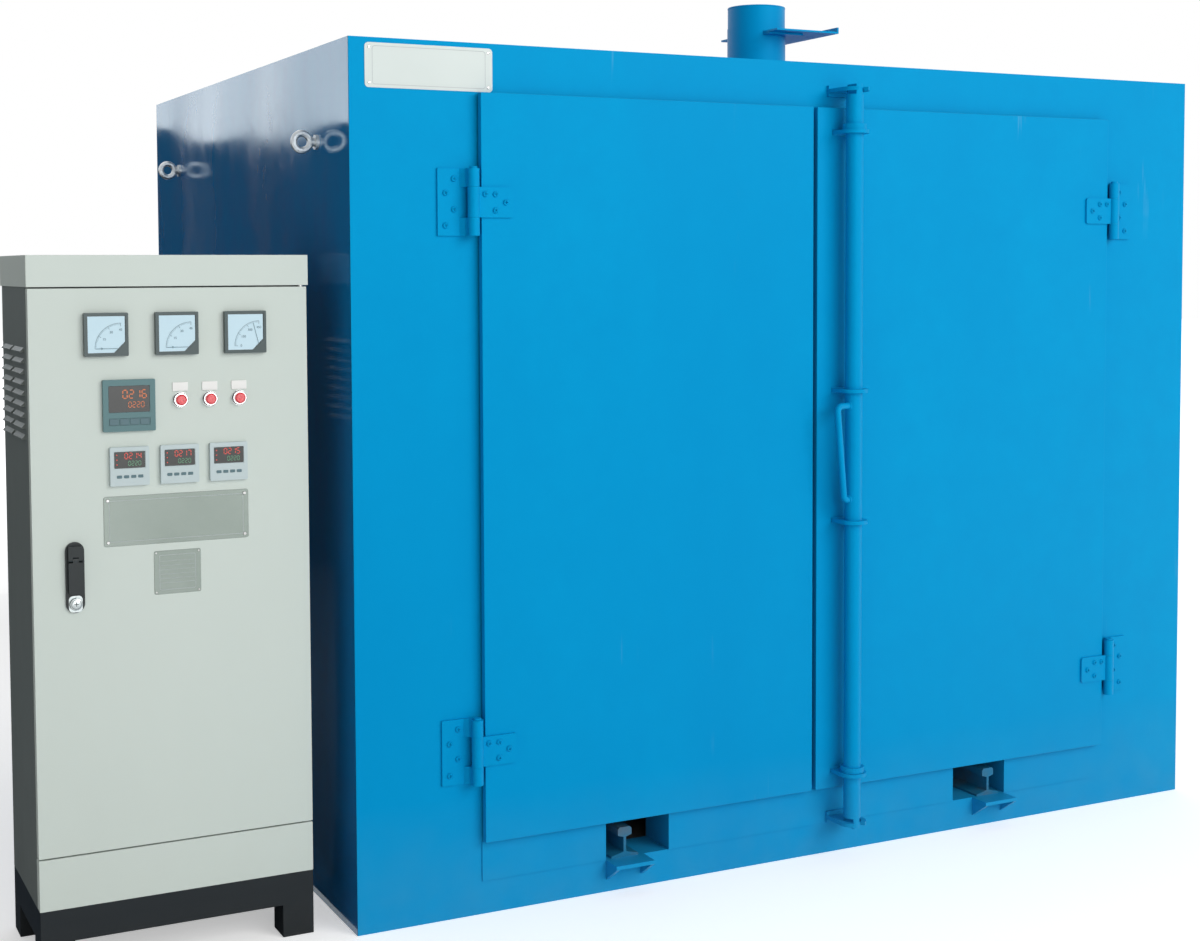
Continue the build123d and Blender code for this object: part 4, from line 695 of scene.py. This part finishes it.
# weld beads at the locking bar's guides, and round the ends of its grip
guideWelds = {"radius": 0.0028, "guideThick": 0.008, "middleRows": (0.75, 1.037)}
guideLow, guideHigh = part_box("lock_guides")
guideHalf = guideWelds["guideThick"] / 2
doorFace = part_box("door_right_pan")[0].y
beads = bmesh.new()
for row in (guideLow.z + guideHalf, *guideWelds["middleRows"], guideHigh.z - guideHalf):
    for side in (-1, 1):
        level = row + side * guideHalf
        weldBead(beads, [Vector((guideLow.x, doorFace, level)),
                         Vector((guideHigh.x, doorFace, level))], guideWelds["radius"])
piece("guide_welds", beads, "frontPaint", "door_right")
gripWelds = {"radius": 0.0024, "ring": 0.0075, "sides": 12, "barRadius": 0.019,
             "rows": (0.8, 1.005), "turn": math.radians(200)}
gripCos, gripSin = math.cos(gripWelds["turn"]), math.sin(gripWelds["turn"])
across = Vector((-gripSin, gripCos, 0))
beads = bmesh.new()
for height in gripWelds["rows"]:
    centre = Vector(jointAt("lock_bar")) + Vector((gripCos, gripSin, 0)) * gripWelds["barRadius"]
    centre.z = height
    ring = []
    for step in range(gripWelds["sides"]):
        angle = 2 * math.pi * step / gripWelds["sides"]
        ring.append(centre + across * gripWelds["ring"] * math.cos(angle)
                    + Vector((0, 0, gripWelds["ring"] * math.sin(angle))))
    tubeAlong(beads, ring, gripWelds["radius"], sides=8, closed=True)
piece("grip_welds", beads, "frontPaint", "lock_bar")
print("welds laid")

# the folded returns of the front frame carry the side's gloss paint, darkened as painted shade
returnSkin = {"proud": 0.0004, "columns": 8, "rows": 60, "inset": 0.0012, "swell": 0.00025,
              "waves": (5.1, 2.3)}
frameLow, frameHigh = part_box("front_frame")
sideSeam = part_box("side_panel_left")[0].y
returnDepth = sideSeam - returnSkin["inset"] - frameLow.y
for hand, label in ((-1, "left"), (1, "right")):
    skin = bmesh.new()
    grid = []
    for row in range(returnSkin["rows"] + 1):
        level = frameLow.z + (frameHigh.z - frameLow.z) * row / returnSkin["rows"]
        ripple = (math.sin(level * returnSkin["waves"][0])
                  * math.sin(level * returnSkin["waves"][1] + 1))
        line = []
        for column in range(returnSkin["columns"] + 1):
            depth = (frameLow.y + returnSkin["inset"]
                     + returnDepth * column / returnSkin["columns"])
            middle = math.sin(math.pi * column / returnSkin["columns"])
            x = hand * (frameHigh.x + returnSkin["proud"]
                        + returnSkin["swell"] * middle * ripple)
            line.append(skin.verts.new((x, depth, level)))
        grid.append(line)
    for lower, upper in zip(grid, grid[1:]):
        for column in range(returnSkin["columns"]):
            skin.faces.new((lower[column], lower[column + 1], upper[column + 1],
                            upper[column]))
    piece(f"front_return_{label}", skin, "shadedSidePaint", "casing")


def ruledEdge(name, centre, width, height, line, corner, body):
    bm = bmesh.new()
    place = uprightPlace(centre, toFront)
    rise = 0.00015  # clear of the plate
    loops = []
    for inset in (0, line):
        outline = roundedOutline(width - 2 * inset, height - 2 * inset, corner - inset)
        loops.append([bm.verts.new(place @ Vector((x, y, rise))) for x, y in outline])
    joinLoops(bm, loops)
    piece(name, bm, "plateLine", body, smooth=False)


# the bare plate on the oven, with rivets and a ruled edge
ovenPlate = {"rivet": 0.0032, "rivetInset": 0.009, "margins": (0.03, 0.012), "line": 0.0009,
             "corner": 0.006}
plateLow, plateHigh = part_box("oven_nameplate")
plateMid = (plateLow + plateHigh) / 2
plateSize = plateHigh - plateLow
rivets = bmesh.new()
for dx, dz in fourCorners(plateSize.x / 2 - ovenPlate["rivetInset"],
                          plateSize.z / 2 - ovenPlate["rivetInset"]):
    popRivet(rivets, (plateMid.x + dx, plateLow.y, plateMid.z + dz), toFront,
             ovenPlate["rivet"])
piece("plate_rivets", rivets, "turnedSteel", "casing")
ruledEdge("plate_edge_line", (plateMid.x, plateLow.y, plateMid.z),
          plateSize.x - ovenPlate["margins"][0], plateSize.z - ovenPlate["margins"][1],
          ovenPlate["line"], ovenPlate["corner"], "casing")

# plates on the cabinet door, left bare
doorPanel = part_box("cabinet_door")
panelFace = doorPanel[0].y
cabinetMid = (doorPanel[0].x + doorPanel[1].x) / 2
cabinetPlates = {
    "name": {"x": cabinetMid + 0.004, "z": 0.840, "width": 0.272, "height": 0.093,
             "thick": 0.0012, "corner": 0.004, "screw": 0.0034},
    "data": {"x": cabinetMid + 0.003, "z": 0.738, "width": 0.088, "height": 0.082,
             "thick": 0.0009, "corner": 0.003, "screw": 0.0018},
}
plateEdge = {"screwInset": 2.2, "margins": (0.02, 0.016), "line": 0.0007, "corner": 0.003}
for label, plate in cabinetPlates.items():
    sheet = bmesh.new()
    roundedPlate(sheet, (plate["x"], panelFace, plate["z"]), toFront, plate["width"],
                 plate["height"], plate["thick"], plate["corner"])
    piece(f"cabinet_{label}_plate", sheet, "plateSilver", "cabinet_door")
    screws = bmesh.new()
    front = panelFace - plate["thick"]
    inset = plateEdge["screwInset"] * plate["screw"]
    for dx, dz in fourCorners(plate["width"] / 2 - inset, plate["height"] / 2 - inset):
        crossScrew(screws, (plate["x"] + dx, front, plate["z"] + dz), toFront, plate["screw"],
                   random.random() * 3)
    piece(f"cabinet_{label}_plate_screws", screws, "turnedSteel", "cabinet_door")
    ruledEdge(f"cabinet_{label}_plate_line", (plate["x"], front, plate["z"]),
              plate["width"] - plateEdge["margins"][0],
              plate["height"] - plateEdge["margins"][1], plateEdge["line"],
              plateEdge["corner"], "cabinet_door")
dataPlate = cabinetPlates["data"]
dataRules = {"count": 6, "top": 0.36, "pitch": 0.1, "margin": 0.024, "height": 0.0005,
             "thick": 0.00015, "corner": 0.0002, "edge": 0.00005}
ruled = bmesh.new()
for line in range(1, dataRules["count"] + 1):
    drop = dataRules["top"] - dataRules["pitch"] * line
    centre = (dataPlate["x"], panelFace - dataPlate["thick"],
              dataPlate["z"] + dataPlate["height"] * drop)
    roundedPlate(ruled, centre, toFront, dataPlate["width"] - dataRules["margin"],
                 dataRules["height"], dataRules["thick"], dataRules["corner"],
                 dataRules["edge"])
piece("cabinet_data_plate_rules", ruled, "plateLine", "cabinet_door")
print("plates set")

# panel meters: dial card, scale, numbers and needle; the needle turns about the dark corner
meterDial = {
    "frame": 0.08, "window": 0.07, "cardShare": 0.96, "cut": 0.021, "recess": 0.0015,
    "pivot": (0.026, -0.026), "arc": 0.047, "arcSteps": 24, "arcLine": 0.0005, "ticks": 30,
    "longTick": (0.006, 0.0007), "shortTick": (0.003, 0.0004), "needleFrom": 0.004,
    "needleEnd": 0.002, "needleLine": 0.0009, "numberInset": 0.0125, "numberSize": 0.0062,
    "cardRise": 0.0004, "markRise": 0.0007, "numberRise": 0.0008, "needleRise": 0.0011,
}
meterLow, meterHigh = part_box("panel_meters")
meterRow = (meterLow.z + meterHigh.z) / 2
meterMid = (meterLow.x + meterHigh.x) / 2
meterPitch = (meterHigh.x - meterLow.x - meterDial["frame"]) / 2
meters = [
    {"x": meterMid - meterPitch, "numbers": ("0", "15", "30", "45"), "reading": 0.0},
    {"x": meterMid, "numbers": ("0", "15", "30", "45"), "reading": 0.0},
    {"x": meterMid + meterPitch, "numbers": ("0", "150", "300", "450"), "reading": 0.84},
]
dialDepth = meterLow.y + meterDial["recess"]


def dialSpot(meter, share, radius):
    angle = math.radians(180 - 90 * share)
    return (meter["x"] + meterDial["pivot"][0] + radius * math.cos(angle),
            meterRow + meterDial["pivot"][1] + radius * math.sin(angle))


def flatQuad(bm, first, second, width, level):
    a = Vector((first[0], level, first[1]))
    b = Vector((second[0], level, second[1]))
    across = (b - a).cross(Vector((0, 1, 0))).normalized() * width / 2
    thick = Vector((0, 0.0002, 0))
    corners = [a + across, a - across, b - across, b + across]
    front = [bm.verts.new(c) for c in corners]
    back = [bm.verts.new(c + thick) for c in corners]
    bm.faces.new(front)
    bm.faces.new(reversed(back))
    for step in range(4):
        after = (step + 1) % 4
        bm.faces.new((front[step], back[step], back[after], front[after]))


def numberPiece(name, text, spot, size, level, finishName, body):
    curve = bpy.data.curves.new(name, "FONT")
    curve.body = text
    curve.size = size
    curve.align_x = curve.align_y = "CENTER"
    curve.extrude = 0.0001
    holder = linked(name + "_font", curve)
    mesh = bpy.data.meshes.new_from_object(holder)
    bpy.data.objects.remove(holder)
    mesh.transform(Matrix.Translation((spot[0], level, spot[1]))
                   @ Matrix.Rotation(math.radians(90), 4, "X"))
    mesh.materials.append(finish[finishName])
    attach(linked(name, mesh), body)


cards, marks = bmesh.new(), bmesh.new()
arcRadius = meterDial["arc"]
markLevel = dialDepth - meterDial["markRise"]
half, cut = meterDial["window"] / 2, meterDial["cut"]
cardOutline = [(-half, -half), (half - cut, -half), (half, -half + cut), (half, half),
               (-half, half)]
for meterNumber, meter in enumerate(meters):
    cards.faces.new([cards.verts.new((meter["x"] + x * meterDial["cardShare"],
                                      dialDepth - meterDial["cardRise"],
                                      meterRow + z * meterDial["cardShare"]))
                     for x, z in cardOutline])
    for tick in range(meterDial["ticks"] + 1):
        share = tick / meterDial["ticks"]
        length, width = meterDial["shortTick" if tick % 10 else "longTick"]
        flatQuad(marks, dialSpot(meter, share, arcRadius - length),
                 dialSpot(meter, share, arcRadius), width, markLevel)
    for step in range(meterDial["arcSteps"]):
        flatQuad(marks, dialSpot(meter, step / meterDial["arcSteps"], arcRadius),
                 dialSpot(meter, (step + 1) / meterDial["arcSteps"], arcRadius),
                 meterDial["arcLine"], markLevel)
    flatQuad(marks, dialSpot(meter, meter["reading"], meterDial["needleFrom"]),
             dialSpot(meter, meter["reading"], arcRadius - meterDial["needleEnd"]),
             meterDial["needleLine"], dialDepth - meterDial["needleRise"])
    for index, text in enumerate(meter["numbers"]):
        spot = dialSpot(meter, index / 3, arcRadius - meterDial["numberInset"])
        numberPiece(f"meter_{meterNumber}_number_{index}", text, spot,
                    meterDial["numberSize"], dialDepth - meterDial["numberRise"], "dialInk",
                    "cabinet_door")
piece("meter_cards", cards, "dialPaper", "cabinet_door", smooth=False)
piece("meter_marks", marks, "dialInk", "cabinet_door", smooth=False)
print("meter dials drawn")

# seven-segment digits, their sizes as shares of the height
segmentMap = {"0": "abcdef", "1": "bc", "2": "abged", "3": "abgcd", "4": "fgbc", "5": "afgcd",
              "6": "afgedc", "7": "abc", "8": "abcdefg", "9": "abcdfg"}
digitShape = {"width": 0.52, "pitch": 0.78, "thick": 0.13, "gap": 0.6}


def digitRow(bm, text, centre, height, level):
    pitch = height * digitShape["pitch"]
    thick = height * digitShape["thick"]
    gap = thick * digitShape["gap"]
    half, side = height / 2, height * digitShape["width"] / 2
    start = centre[0] - pitch * (len(text) - 1) / 2
    z = centre[1]
    for index, character in enumerate(text):
        x = start + index * pitch
        ends = {
            "a": ((x - side + gap, z + half), (x + side - gap, z + half)),
            "g": ((x - side + gap, z), (x + side - gap, z)),
            "d": ((x - side + gap, z - half), (x + side - gap, z - half)),
            "f": ((x - side, z + gap), (x - side, z + half - gap)),
            "b": ((x + side, z + gap), (x + side, z + half - gap)),
            "e": ((x - side, z - half + gap), (x - side, z - gap)),
            "c": ((x + side, z - half + gap), (x + side, z - gap)),
        }
        for letter in segmentMap[character]:
            flatQuad(bm, *ends[letter], thick, level)

# main controller: dark window with two rows of digits, and a row of keys
mainUnit = {"recess": 0.0015, "window": (0.075, 0.049), "windowRise": 0.012,
            "windowThick": 0.0004, "windowCorner": 0.002, "windowEdge": 0.0001,
            "digitRise": 0.0007, "keys": 4, "keysDrop": 0.030, "keyGap": 0.002,
            "keyHeight": 0.0115, "keyThick": 0.0014, "keyCorner": 0.002,
            "rows": {"upper": ("0216", 0.01, 0.021, 0.015),
                     "lower": ("0220", 0.013, 0.0015, 0.010)}}
controllerLow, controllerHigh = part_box("main_controller")
controllerX = (controllerLow.x + controllerHigh.x) / 2
controllerZ = (controllerLow.z + controllerHigh.z) / 2
recess = controllerLow.y + mainUnit["recess"]
window = bmesh.new()
roundedPlate(window, (controllerX, recess, controllerZ + mainUnit["windowRise"]), toFront,
             *mainUnit["window"], mainUnit["windowThick"], mainUnit["windowCorner"],
             mainUnit["windowEdge"])
piece("controller_window", window, "displayDark", "cabinet_door")
for label, (text, dx, dz, height) in mainUnit["rows"].items():
    digits = bmesh.new()
    digitRow(digits, text, (controllerX + dx, controllerZ + dz), height,
             recess - mainUnit["digitRise"])
    piece(f"controller_digits_{label}", digits, "amberLit", "cabinet_door", smooth=False)
pad = bmesh.new()
keyPitch = mainUnit["window"][0] / mainUnit["keys"]
for key in range(mainUnit["keys"]):
    x = controllerX + (key - (mainUnit["keys"] - 1) / 2) * keyPitch
    roundedPlate(pad, (x, recess, controllerZ - mainUnit["keysDrop"]), toFront,
                 keyPitch - mainUnit["keyGap"], mainUnit["keyHeight"], mainUnit["keyThick"],
                 mainUnit["keyCorner"])
piece("controller_keys", pad, "keyPad", "cabinet_door")

# zone controllers: window, two rows of digits, four keys and three lights
zoneUnit = {"frame": 0.072, "recess": 0.0015, "window": (0.0565, 0.0305), "windowRise": 0.012,
            "windowThick": 0.0004, "windowCorner": 0.0015, "windowEdge": 0.0001,
            "digitRise": 0.0007, "upper": (0.006, 0.0195, 0.0105),
            "lower": (0.009, 0.0055, 0.008), "key": (0.0095, 0.0055, 0.0009, 0.0014),
            "keyAt": (-0.0195, -0.019), "keyPitch": 0.013, "lightAt": (-0.0235, 0.0215),
            "lightPitch": 0.009, "light": [(0.0013, 0), (0.001, 0.0005)]}
zoneReadings = (("0214", "0220"), ("0217", "0220"), ("0215", "0220"))
zoneLow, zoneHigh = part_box("zone_controllers")
zoneRow = (zoneLow.z + zoneHigh.z) / 2
zoneMid = (zoneLow.x + zoneHigh.x) / 2
zonePitch = (zoneHigh.x - zoneLow.x - zoneUnit["frame"]) / 2
recess = zoneLow.y + zoneUnit["recess"]
window, upper, lower, keys, lights = (bmesh.new() for made in range(5))
for index, readings in enumerate(zoneReadings):
    x = zoneMid + (index - 1) * zonePitch
    roundedPlate(window, (x, recess, zoneRow + zoneUnit["windowRise"]), toFront,
                 *zoneUnit["window"], zoneUnit["windowThick"], zoneUnit["windowCorner"],
                 zoneUnit["windowEdge"])
    for bm, label, text in ((upper, "upper", readings[0]), (lower, "lower", readings[1])):
        dx, dz, height = zoneUnit[label]
        digitRow(bm, text, (x + dx, zoneRow + dz), height, recess - zoneUnit["digitRise"])
    for key in range(4):
        roundedPlate(keys, (x + zoneUnit["keyAt"][0] + key * zoneUnit["keyPitch"], zoneLow.y,
                            zoneRow + zoneUnit["keyAt"][1]), toFront, *zoneUnit["key"])
    for lamp in range(3):
        spot = (x + zoneUnit["lightAt"][0], recess - zoneUnit["windowThick"],
                zoneRow + zoneUnit["lightAt"][1] - lamp * zoneUnit["lightPitch"])
        ringStack(lights, facing(spot, toFront), zoneUnit["light"], segments=12)
piece("zone_windows", window, "displayDark", "cabinet_door")
piece("zone_digits_upper", upper, "redLit", "cabinet_door", smooth=False)
piece("zone_digits_lower", lower, "greenLit", "cabinet_door", smooth=False)
piece("zone_keys", keys, "keyPad", "cabinet_door")
piece("zone_lights", lights, "redLit", "cabinet_door")

# legends over the pilot lamps and collars round them
pilotLamp = {"radius": 0.0145, "legend": (0.029, 0.0165, 0.002, 0.001), "legendRise": 0.0245,
             "collarAt": 0.003,
             "collar": [(0.0138, 0.0), (0.0138, 0.0035), (0.0130, 0.0042), (0.0126, 0.0042)]}
lampLow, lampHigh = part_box("pilot_lamps")
lampMid = (lampLow.x + lampHigh.x) / 2
lampPitch = (lampHigh.x - lampLow.x) / 2 - pilotLamp["radius"]
lampRow = (lampLow.z + lampHigh.z) / 2
legends, collars = bmesh.new(), bmesh.new()
for index in (-1, 0, 1):
    x = lampMid + index * lampPitch
    roundedPlate(legends, (x, panelFace, lampRow + pilotLamp["legendRise"]), toFront,
                 *pilotLamp["legend"])
    place = facing((x, panelFace - pilotLamp["collarAt"], lampRow), toFront)
    ringStack(collars, place, pilotLamp["collar"], segments=40, closeEnd=False)
piece("lamp_legends", legends, "legendWhite", "cabinet_door")
piece("lamp_collars", collars, "deviceDark", "cabinet_door")

# keyed lock below the swing lever
keyLock = {"rise": 0.017, "plate": (0.025, 0.031, 0.0012, 0.008), "plateDrop": 0.0003,
           "barrelDepth": 0.007, "slot": plusSign(0.0042, 0.0007),
           "barrel": [(0.0118, -0.0006), (0.0118, 0.004), (0.0108, 0.0066), (0.0092, 0.0072)]}
lockLow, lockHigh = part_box("handle_escutcheon")
lockX = (lockLow.x + lockHigh.x) / 2
lockZ = lockLow.z + keyLock["rise"]
barrel = bmesh.new()
roundedPlate(barrel, (lockX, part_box("latch_lever")[1].y, lockZ - keyLock["plateDrop"]), toFront,
             *keyLock["plate"])
ringStack(barrel, facing((lockX, lockLow.y + keyLock["barrelDepth"], lockZ), toFront),
          keyLock["barrel"], segments=40, closeEnd=False)
ringStack(barrel, facing((lockX, lockLow.y, lockZ), toFront),
          [(0.0086, -0.001), (0.0086, 0.0002), (0.0078, 0.0008), (keyLock["slot"], 0.0008),
           (keyLock["slot"], -0.002)], segments=40)
piece("lock_barrel", barrel, "lockNickel", "cabinet_door")
print("instruments finished")

# exhaust: rivets on the collar, a rolled rim and a seam on the pipe
exhaust = {"centre": Vector((0.0, -0.544, 0.0)), "radius": 0.0665, "rivets": 8,
           "rivetReach": 0.022, "rivet": 0.004, "collarThick": 0.003, "rimInset": 0.0022,
           "rim": 0.002, "seam": 0.002, "seamFoot": 0.005, "seamTop": 0.008}
pipeCentre, pipeRadius = exhaust["centre"], exhaust["radius"]
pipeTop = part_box("exhaust_pipe")[1].z
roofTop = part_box("roof_panel")[1].z
rivets = bmesh.new()
for step in range(exhaust["rivets"]):
    angle = math.radians(22.5 + 45 * step)
    spot = pipeCentre + (Vector((math.cos(angle), math.sin(angle), 0))
                         * (pipeRadius + exhaust["rivetReach"]))
    spot.z = roofTop + exhaust["collarThick"]
    popRivet(rivets, spot, toTop, exhaust["rivet"])
piece("collar_rivets", rivets, "turnedSteel", "casing")
rim = bmesh.new()
ring = []
for step in range(64):
    angle = 2 * math.pi * step / 64
    ring.append(pipeCentre + (Vector((math.cos(angle), math.sin(angle), 0))
                              * (pipeRadius - exhaust["rimInset"]))
                + Vector((0, 0, pipeTop - exhaust["rimInset"])))
tubeAlong(rim, ring, exhaust["rim"], sides=8, closed=True)
piece("pipe_rim", rim, "frontPaint", "casing")
seam = bmesh.new()
weldBead(seam, [pipeCentre + Vector((0, pipeRadius, roofTop + exhaust["seamFoot"])),
                pipeCentre + Vector((0, pipeRadius, pipeTop - exhaust["seamTop"]))],
         exhaust["seam"])
piece("pipe_seam", seam, "frontPaint", "casing")

# fixings on the back: cover screws, stand nuts, seal bolts, motor grille and box lid
coverFixing = {"width": 0.17, "edge": 0.014, "end": 0.03, "rows": 5, "screw": 0.0045}
coverLow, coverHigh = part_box("terminal_covers")
screws = bmesh.new()
for hand in (-1, 1):
    coverX = hand * (coverHigh.x - coverFixing["width"] / 2)
    for sx in (-1, 1):
        for step in range(coverFixing["rows"]):
            level = (coverLow.z + coverFixing["end"] + step
                     * (coverHigh.z - coverLow.z - 2 * coverFixing["end"])
                     / (coverFixing["rows"] - 1))
            spot = (coverX + sx * (coverFixing["width"] / 2 - coverFixing["edge"]),
                    coverHigh.y, level)
            crossScrew(screws, spot, toBack, coverFixing["screw"], random.random() * 3)
piece("cover_screws", screws, "turnedSteel", "casing")
motorFixing = {"height": 0.9, "nutAt": 0.125, "nut": 0.008, "boltRing": 0.115, "bolt": 0.0055,
               "boltDepth": 0.012, "grille": {"rings": 6, "first": 0.018, "pitch": 0.013,
                                              "wire": 0.0016, "depth": 0.0008},
               "lid": (0.104, 0.114, 0.0035, 0.006), "lidAt": 0.12, "lidDrop": 0.004,
               "lidScrewDrop": 0.0012, "lidScrew": 0.002, "lidScrewAt": (0.044, 0.049)}
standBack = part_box("motor_stand")[1].y
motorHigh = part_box("fan_motor")[1]
fanZ = motorFixing["height"]
nuts = bmesh.new()
for dx, dz in fourCorners(motorFixing["nutAt"], motorFixing["nutAt"]):
    hexBolt(nuts, (dx, standBack, fanZ + dz), toBack, motorFixing["nut"])
for step in range(6):
    angle = math.radians(30 + 60 * step)
    spot = (math.cos(angle) * motorFixing["boltRing"], standBack + motorFixing["boltDepth"],
            fanZ + math.sin(angle) * motorFixing["boltRing"])
    hexBolt(nuts, spot, toBack, motorFixing["bolt"], washer=False)
piece("stand_nuts", nuts, "turnedSteel", "casing")
grille = bmesh.new()
grilleWire = motorFixing["grille"]
for ringNumber in range(grilleWire["rings"]):
    radius = grilleWire["first"] + ringNumber * grilleWire["pitch"]
    ring = [Vector((math.cos(2 * math.pi * s / 48) * radius, motorHigh.y - grilleWire["depth"],
                    fanZ + math.sin(2 * math.pi * s / 48) * radius)) for s in range(48)]
    tubeAlong(grille, ring, grilleWire["wire"], sides=6, closed=True)
piece("motor_grille", grille, "deviceDark", "casing")
boxLid = bmesh.new()
lidY = standBack + motorFixing["lidAt"]
roundedPlate(boxLid, (0.0, lidY, motorHigh.z - motorFixing["lidDrop"]), toTop,
             *motorFixing["lid"])
for dx, dy in fourCorners(*motorFixing["lidScrewAt"]):
    crossScrew(boxLid, (dx, lidY + dy, motorHigh.z - motorFixing["lidScrewDrop"]), toTop,
               motorFixing["lidScrew"], random.random())
piece("motor_box_lid", boxLid, "motorPaint", "casing")
print("back fixings done")

# camera and light
cameraView = {"place": (-2.1866, -4.0782, 1.307), "yaw": 0.4668, "pitch": 0.0542,
              "roll": -0.0035, "lens": 53.53, "sensor": 36, "shiftY": -0.0886,
              "near": 0.05, "far": 200}
cameraData = bpy.data.cameras.new("camera")
cameraData.lens = cameraView["lens"]
cameraData.sensor_width = cameraView["sensor"]
cameraData.shift_y = cameraView["shiftY"]
cameraData.clip_start = cameraView["near"]
cameraData.clip_end = cameraView["far"]
camera = linked("camera", cameraData)
yaw, pitch = cameraView["yaw"], cameraView["pitch"]
forward = Vector((math.sin(yaw) * math.cos(pitch), math.cos(yaw) * math.cos(pitch),
                  -math.sin(pitch)))
turned = forward.to_track_quat("-Z", "Y").to_matrix().to_4x4()
camera.matrix_world = (Matrix.Translation(cameraView["place"]) @ turned
                       @ Matrix.Rotation(cameraView["roll"], 4, "Z"))
bpy.context.scene.camera = camera


def softLamp(name, look):
    data = bpy.data.lights.new(name, "AREA")
    data.energy = look["power"]
    data.size = look["size"]
    data.color = look["colour"]
    lamp = linked(name, data)
    aim = Vector(look["aim"]) - Vector(look["place"])
    lamp.matrix_world = (Matrix.Translation(look["place"])
                         @ aim.to_track_quat("-Z", "Y").to_matrix().to_4x4())


lamps = {
    "keyLamp": {"place": (2.6, -6.8, 4.2), "aim": (0, -0.8, 0.9), "size": 4.0, "power": 268,
                "colour": (1.0, 0.99, 0.97)},
    "frontLamp": {"place": (-0.9, -8.5, 2.4), "aim": (-0.9, -0.8, 0.8), "size": 4.0,
                  "power": 176, "colour": (0.97, 0.99, 1.0)},
    "topLamp": {"place": (0.5, 1.5, 6.5), "aim": (0, 0, 1), "size": 5.0, "power": 120,
                "colour": (1.0, 1.0, 1.0)},
}
for lampName, lampLook in lamps.items():
    softLamp(lampName, lampLook)

world = bpy.data.worlds.new("studioWorld")
bpy.context.scene.world = world
world.use_nodes = True
worldTree = world.node_tree
worldTree.nodes.clear()
sky = {"fill": 0.33, "seen": 1.0, "colour": (1.0, 1.0, 1.0, 1.0)}
path = addNode(worldTree, "ShaderNodeLightPath", (-800, 0))
seen = mathNode(worldTree, "MAXIMUM", (-600, 0), (path, "Is Camera Ray"), (path, "Is Glossy Ray"))
seenAll = mathNode(worldTree, "MAXIMUM", (-400, 0), (seen, 0), (path, "Is Transmission Ray"))
mixShade = addNode(worldTree, "ShaderNodeMixShader", (0, 0), Fac=(seenAll, 0))
for slotNumber, strength in ((1, sky["fill"]), (2, sky["seen"])):
    shade = addNode(worldTree, "ShaderNodeBackground", (-200, -100 * slotNumber),
                    Strength=strength, Color=sky["colour"])
    wire(worldTree, shade, 0, mixShade, slotNumber)
addNode(worldTree, "ShaderNodeOutputWorld", (200, 0), Surface=(mixShade, 0))


def stagePlane(name, corners, material, hidden=True):
    mesh = bpy.data.meshes.new(name)
    mesh.from_pydata(corners, [], [(0, 1, 2, 3)])
    mesh.materials.append(material)
    made = linked(name, mesh)
    if hidden:  # seen in reflections only
        made.visible_camera = made.visible_shadow = made.visible_diffuse = False


def mottled(name, look, sockets, **shaderValues):
    material, tree, shader = newMaterial(name, **shaderValues)
    noise = surfaceTexture(tree, "Noise", (-700, 0), Scale=look["scale"], Detail=look["detail"])
    tintFrom(tree, shader, (noise, "Fac"), look["first"], look["second"], sockets)
    return material, tree, shader


floorLook = {"scale": 0.8, "detail": 4.0, "first": (0.90, 0.90, 0.90),
             "second": (0.87, 0.87, 0.87), "reach": (3.0, 8.0), "lift": (0.42, 1.0)}


def paleFloor():
    material, tree, shader = mottled("paleFloor", floorLook, ("Base Color",), Roughness=0.7,
                                     Specular_IOR_Level=0.2, Emission_Color=(1, 1, 1, 1))
    path = addNode(tree, "ShaderNodeLightPath", (-900, -300))
    direct = mathNode(tree, "MAXIMUM", (-700, -300), (path, "Is Camera Ray"),
                      (path, "Is Glossy Ray"))
    coord = addNode(tree, "ShaderNodeTexCoord", (-900, -500))
    distance = addNode(tree, "ShaderNodeVectorMath", (-700, -500), operation="LENGTH",
                       Vector=(coord, "Object"))
    spread = remap(tree, (-500, -500), (distance, "Value"), floorLook["reach"],
                   floorLook["lift"])
    lift = mathNode(tree, "MULTIPLY", (-300, -300), (direct, 0), (spread, 0))
    wire(tree, lift, 0, shader, "Emission Strength")
    return material


darkLook = {"scale": 0.7, "detail": 3.0, "first": (0.0, 0.01, 0.03),
            "second": (0.005, 0.03, 0.06)}
skyLook = {"scale": 0.5, "detail": 3.0, "first": (0.75, 0.88, 1.0), "second": (1.0, 1.0, 1.0)}
darkCard = mottled("darkCard", darkLook, ("Base Color",), Roughness=0.9)[0]
skyCard = mottled("skyCard", skyLook, ("Emission Color",), Roughness=1.0,
                  Emission_Strength=1.15)[0]
stagePlane("floor", [(-30, -30, 0), (30, -30, 0), (30, 30, 0), (-30, 30, 0)], paleFloor(),
           hidden=False)
stagePlane("brightCard", [(-9, 3.6, 1.6), (-1.2, 3.6, 1.6), (-1.2, 3.6, 5.0), (-9, 3.6, 5.0)],
           skyCard)
stagePlane("reflectionCard", [(-7, 3.4, 0.0), (-1.35, 3.4, 0.0), (-1.35, 3.4, 1.85),
                              (-7, 3.4, 1.85)], darkCard)
stagePlane("floorCard", [(-7, -0.85, 0.002), (-1.08, -0.85, 0.002), (-1.08, 3.39, 0.002),
                         (-7, 3.39, 0.002)], darkCard)
bpy.context.scene.view_settings.view_transform = "Standard"
print("stage set")
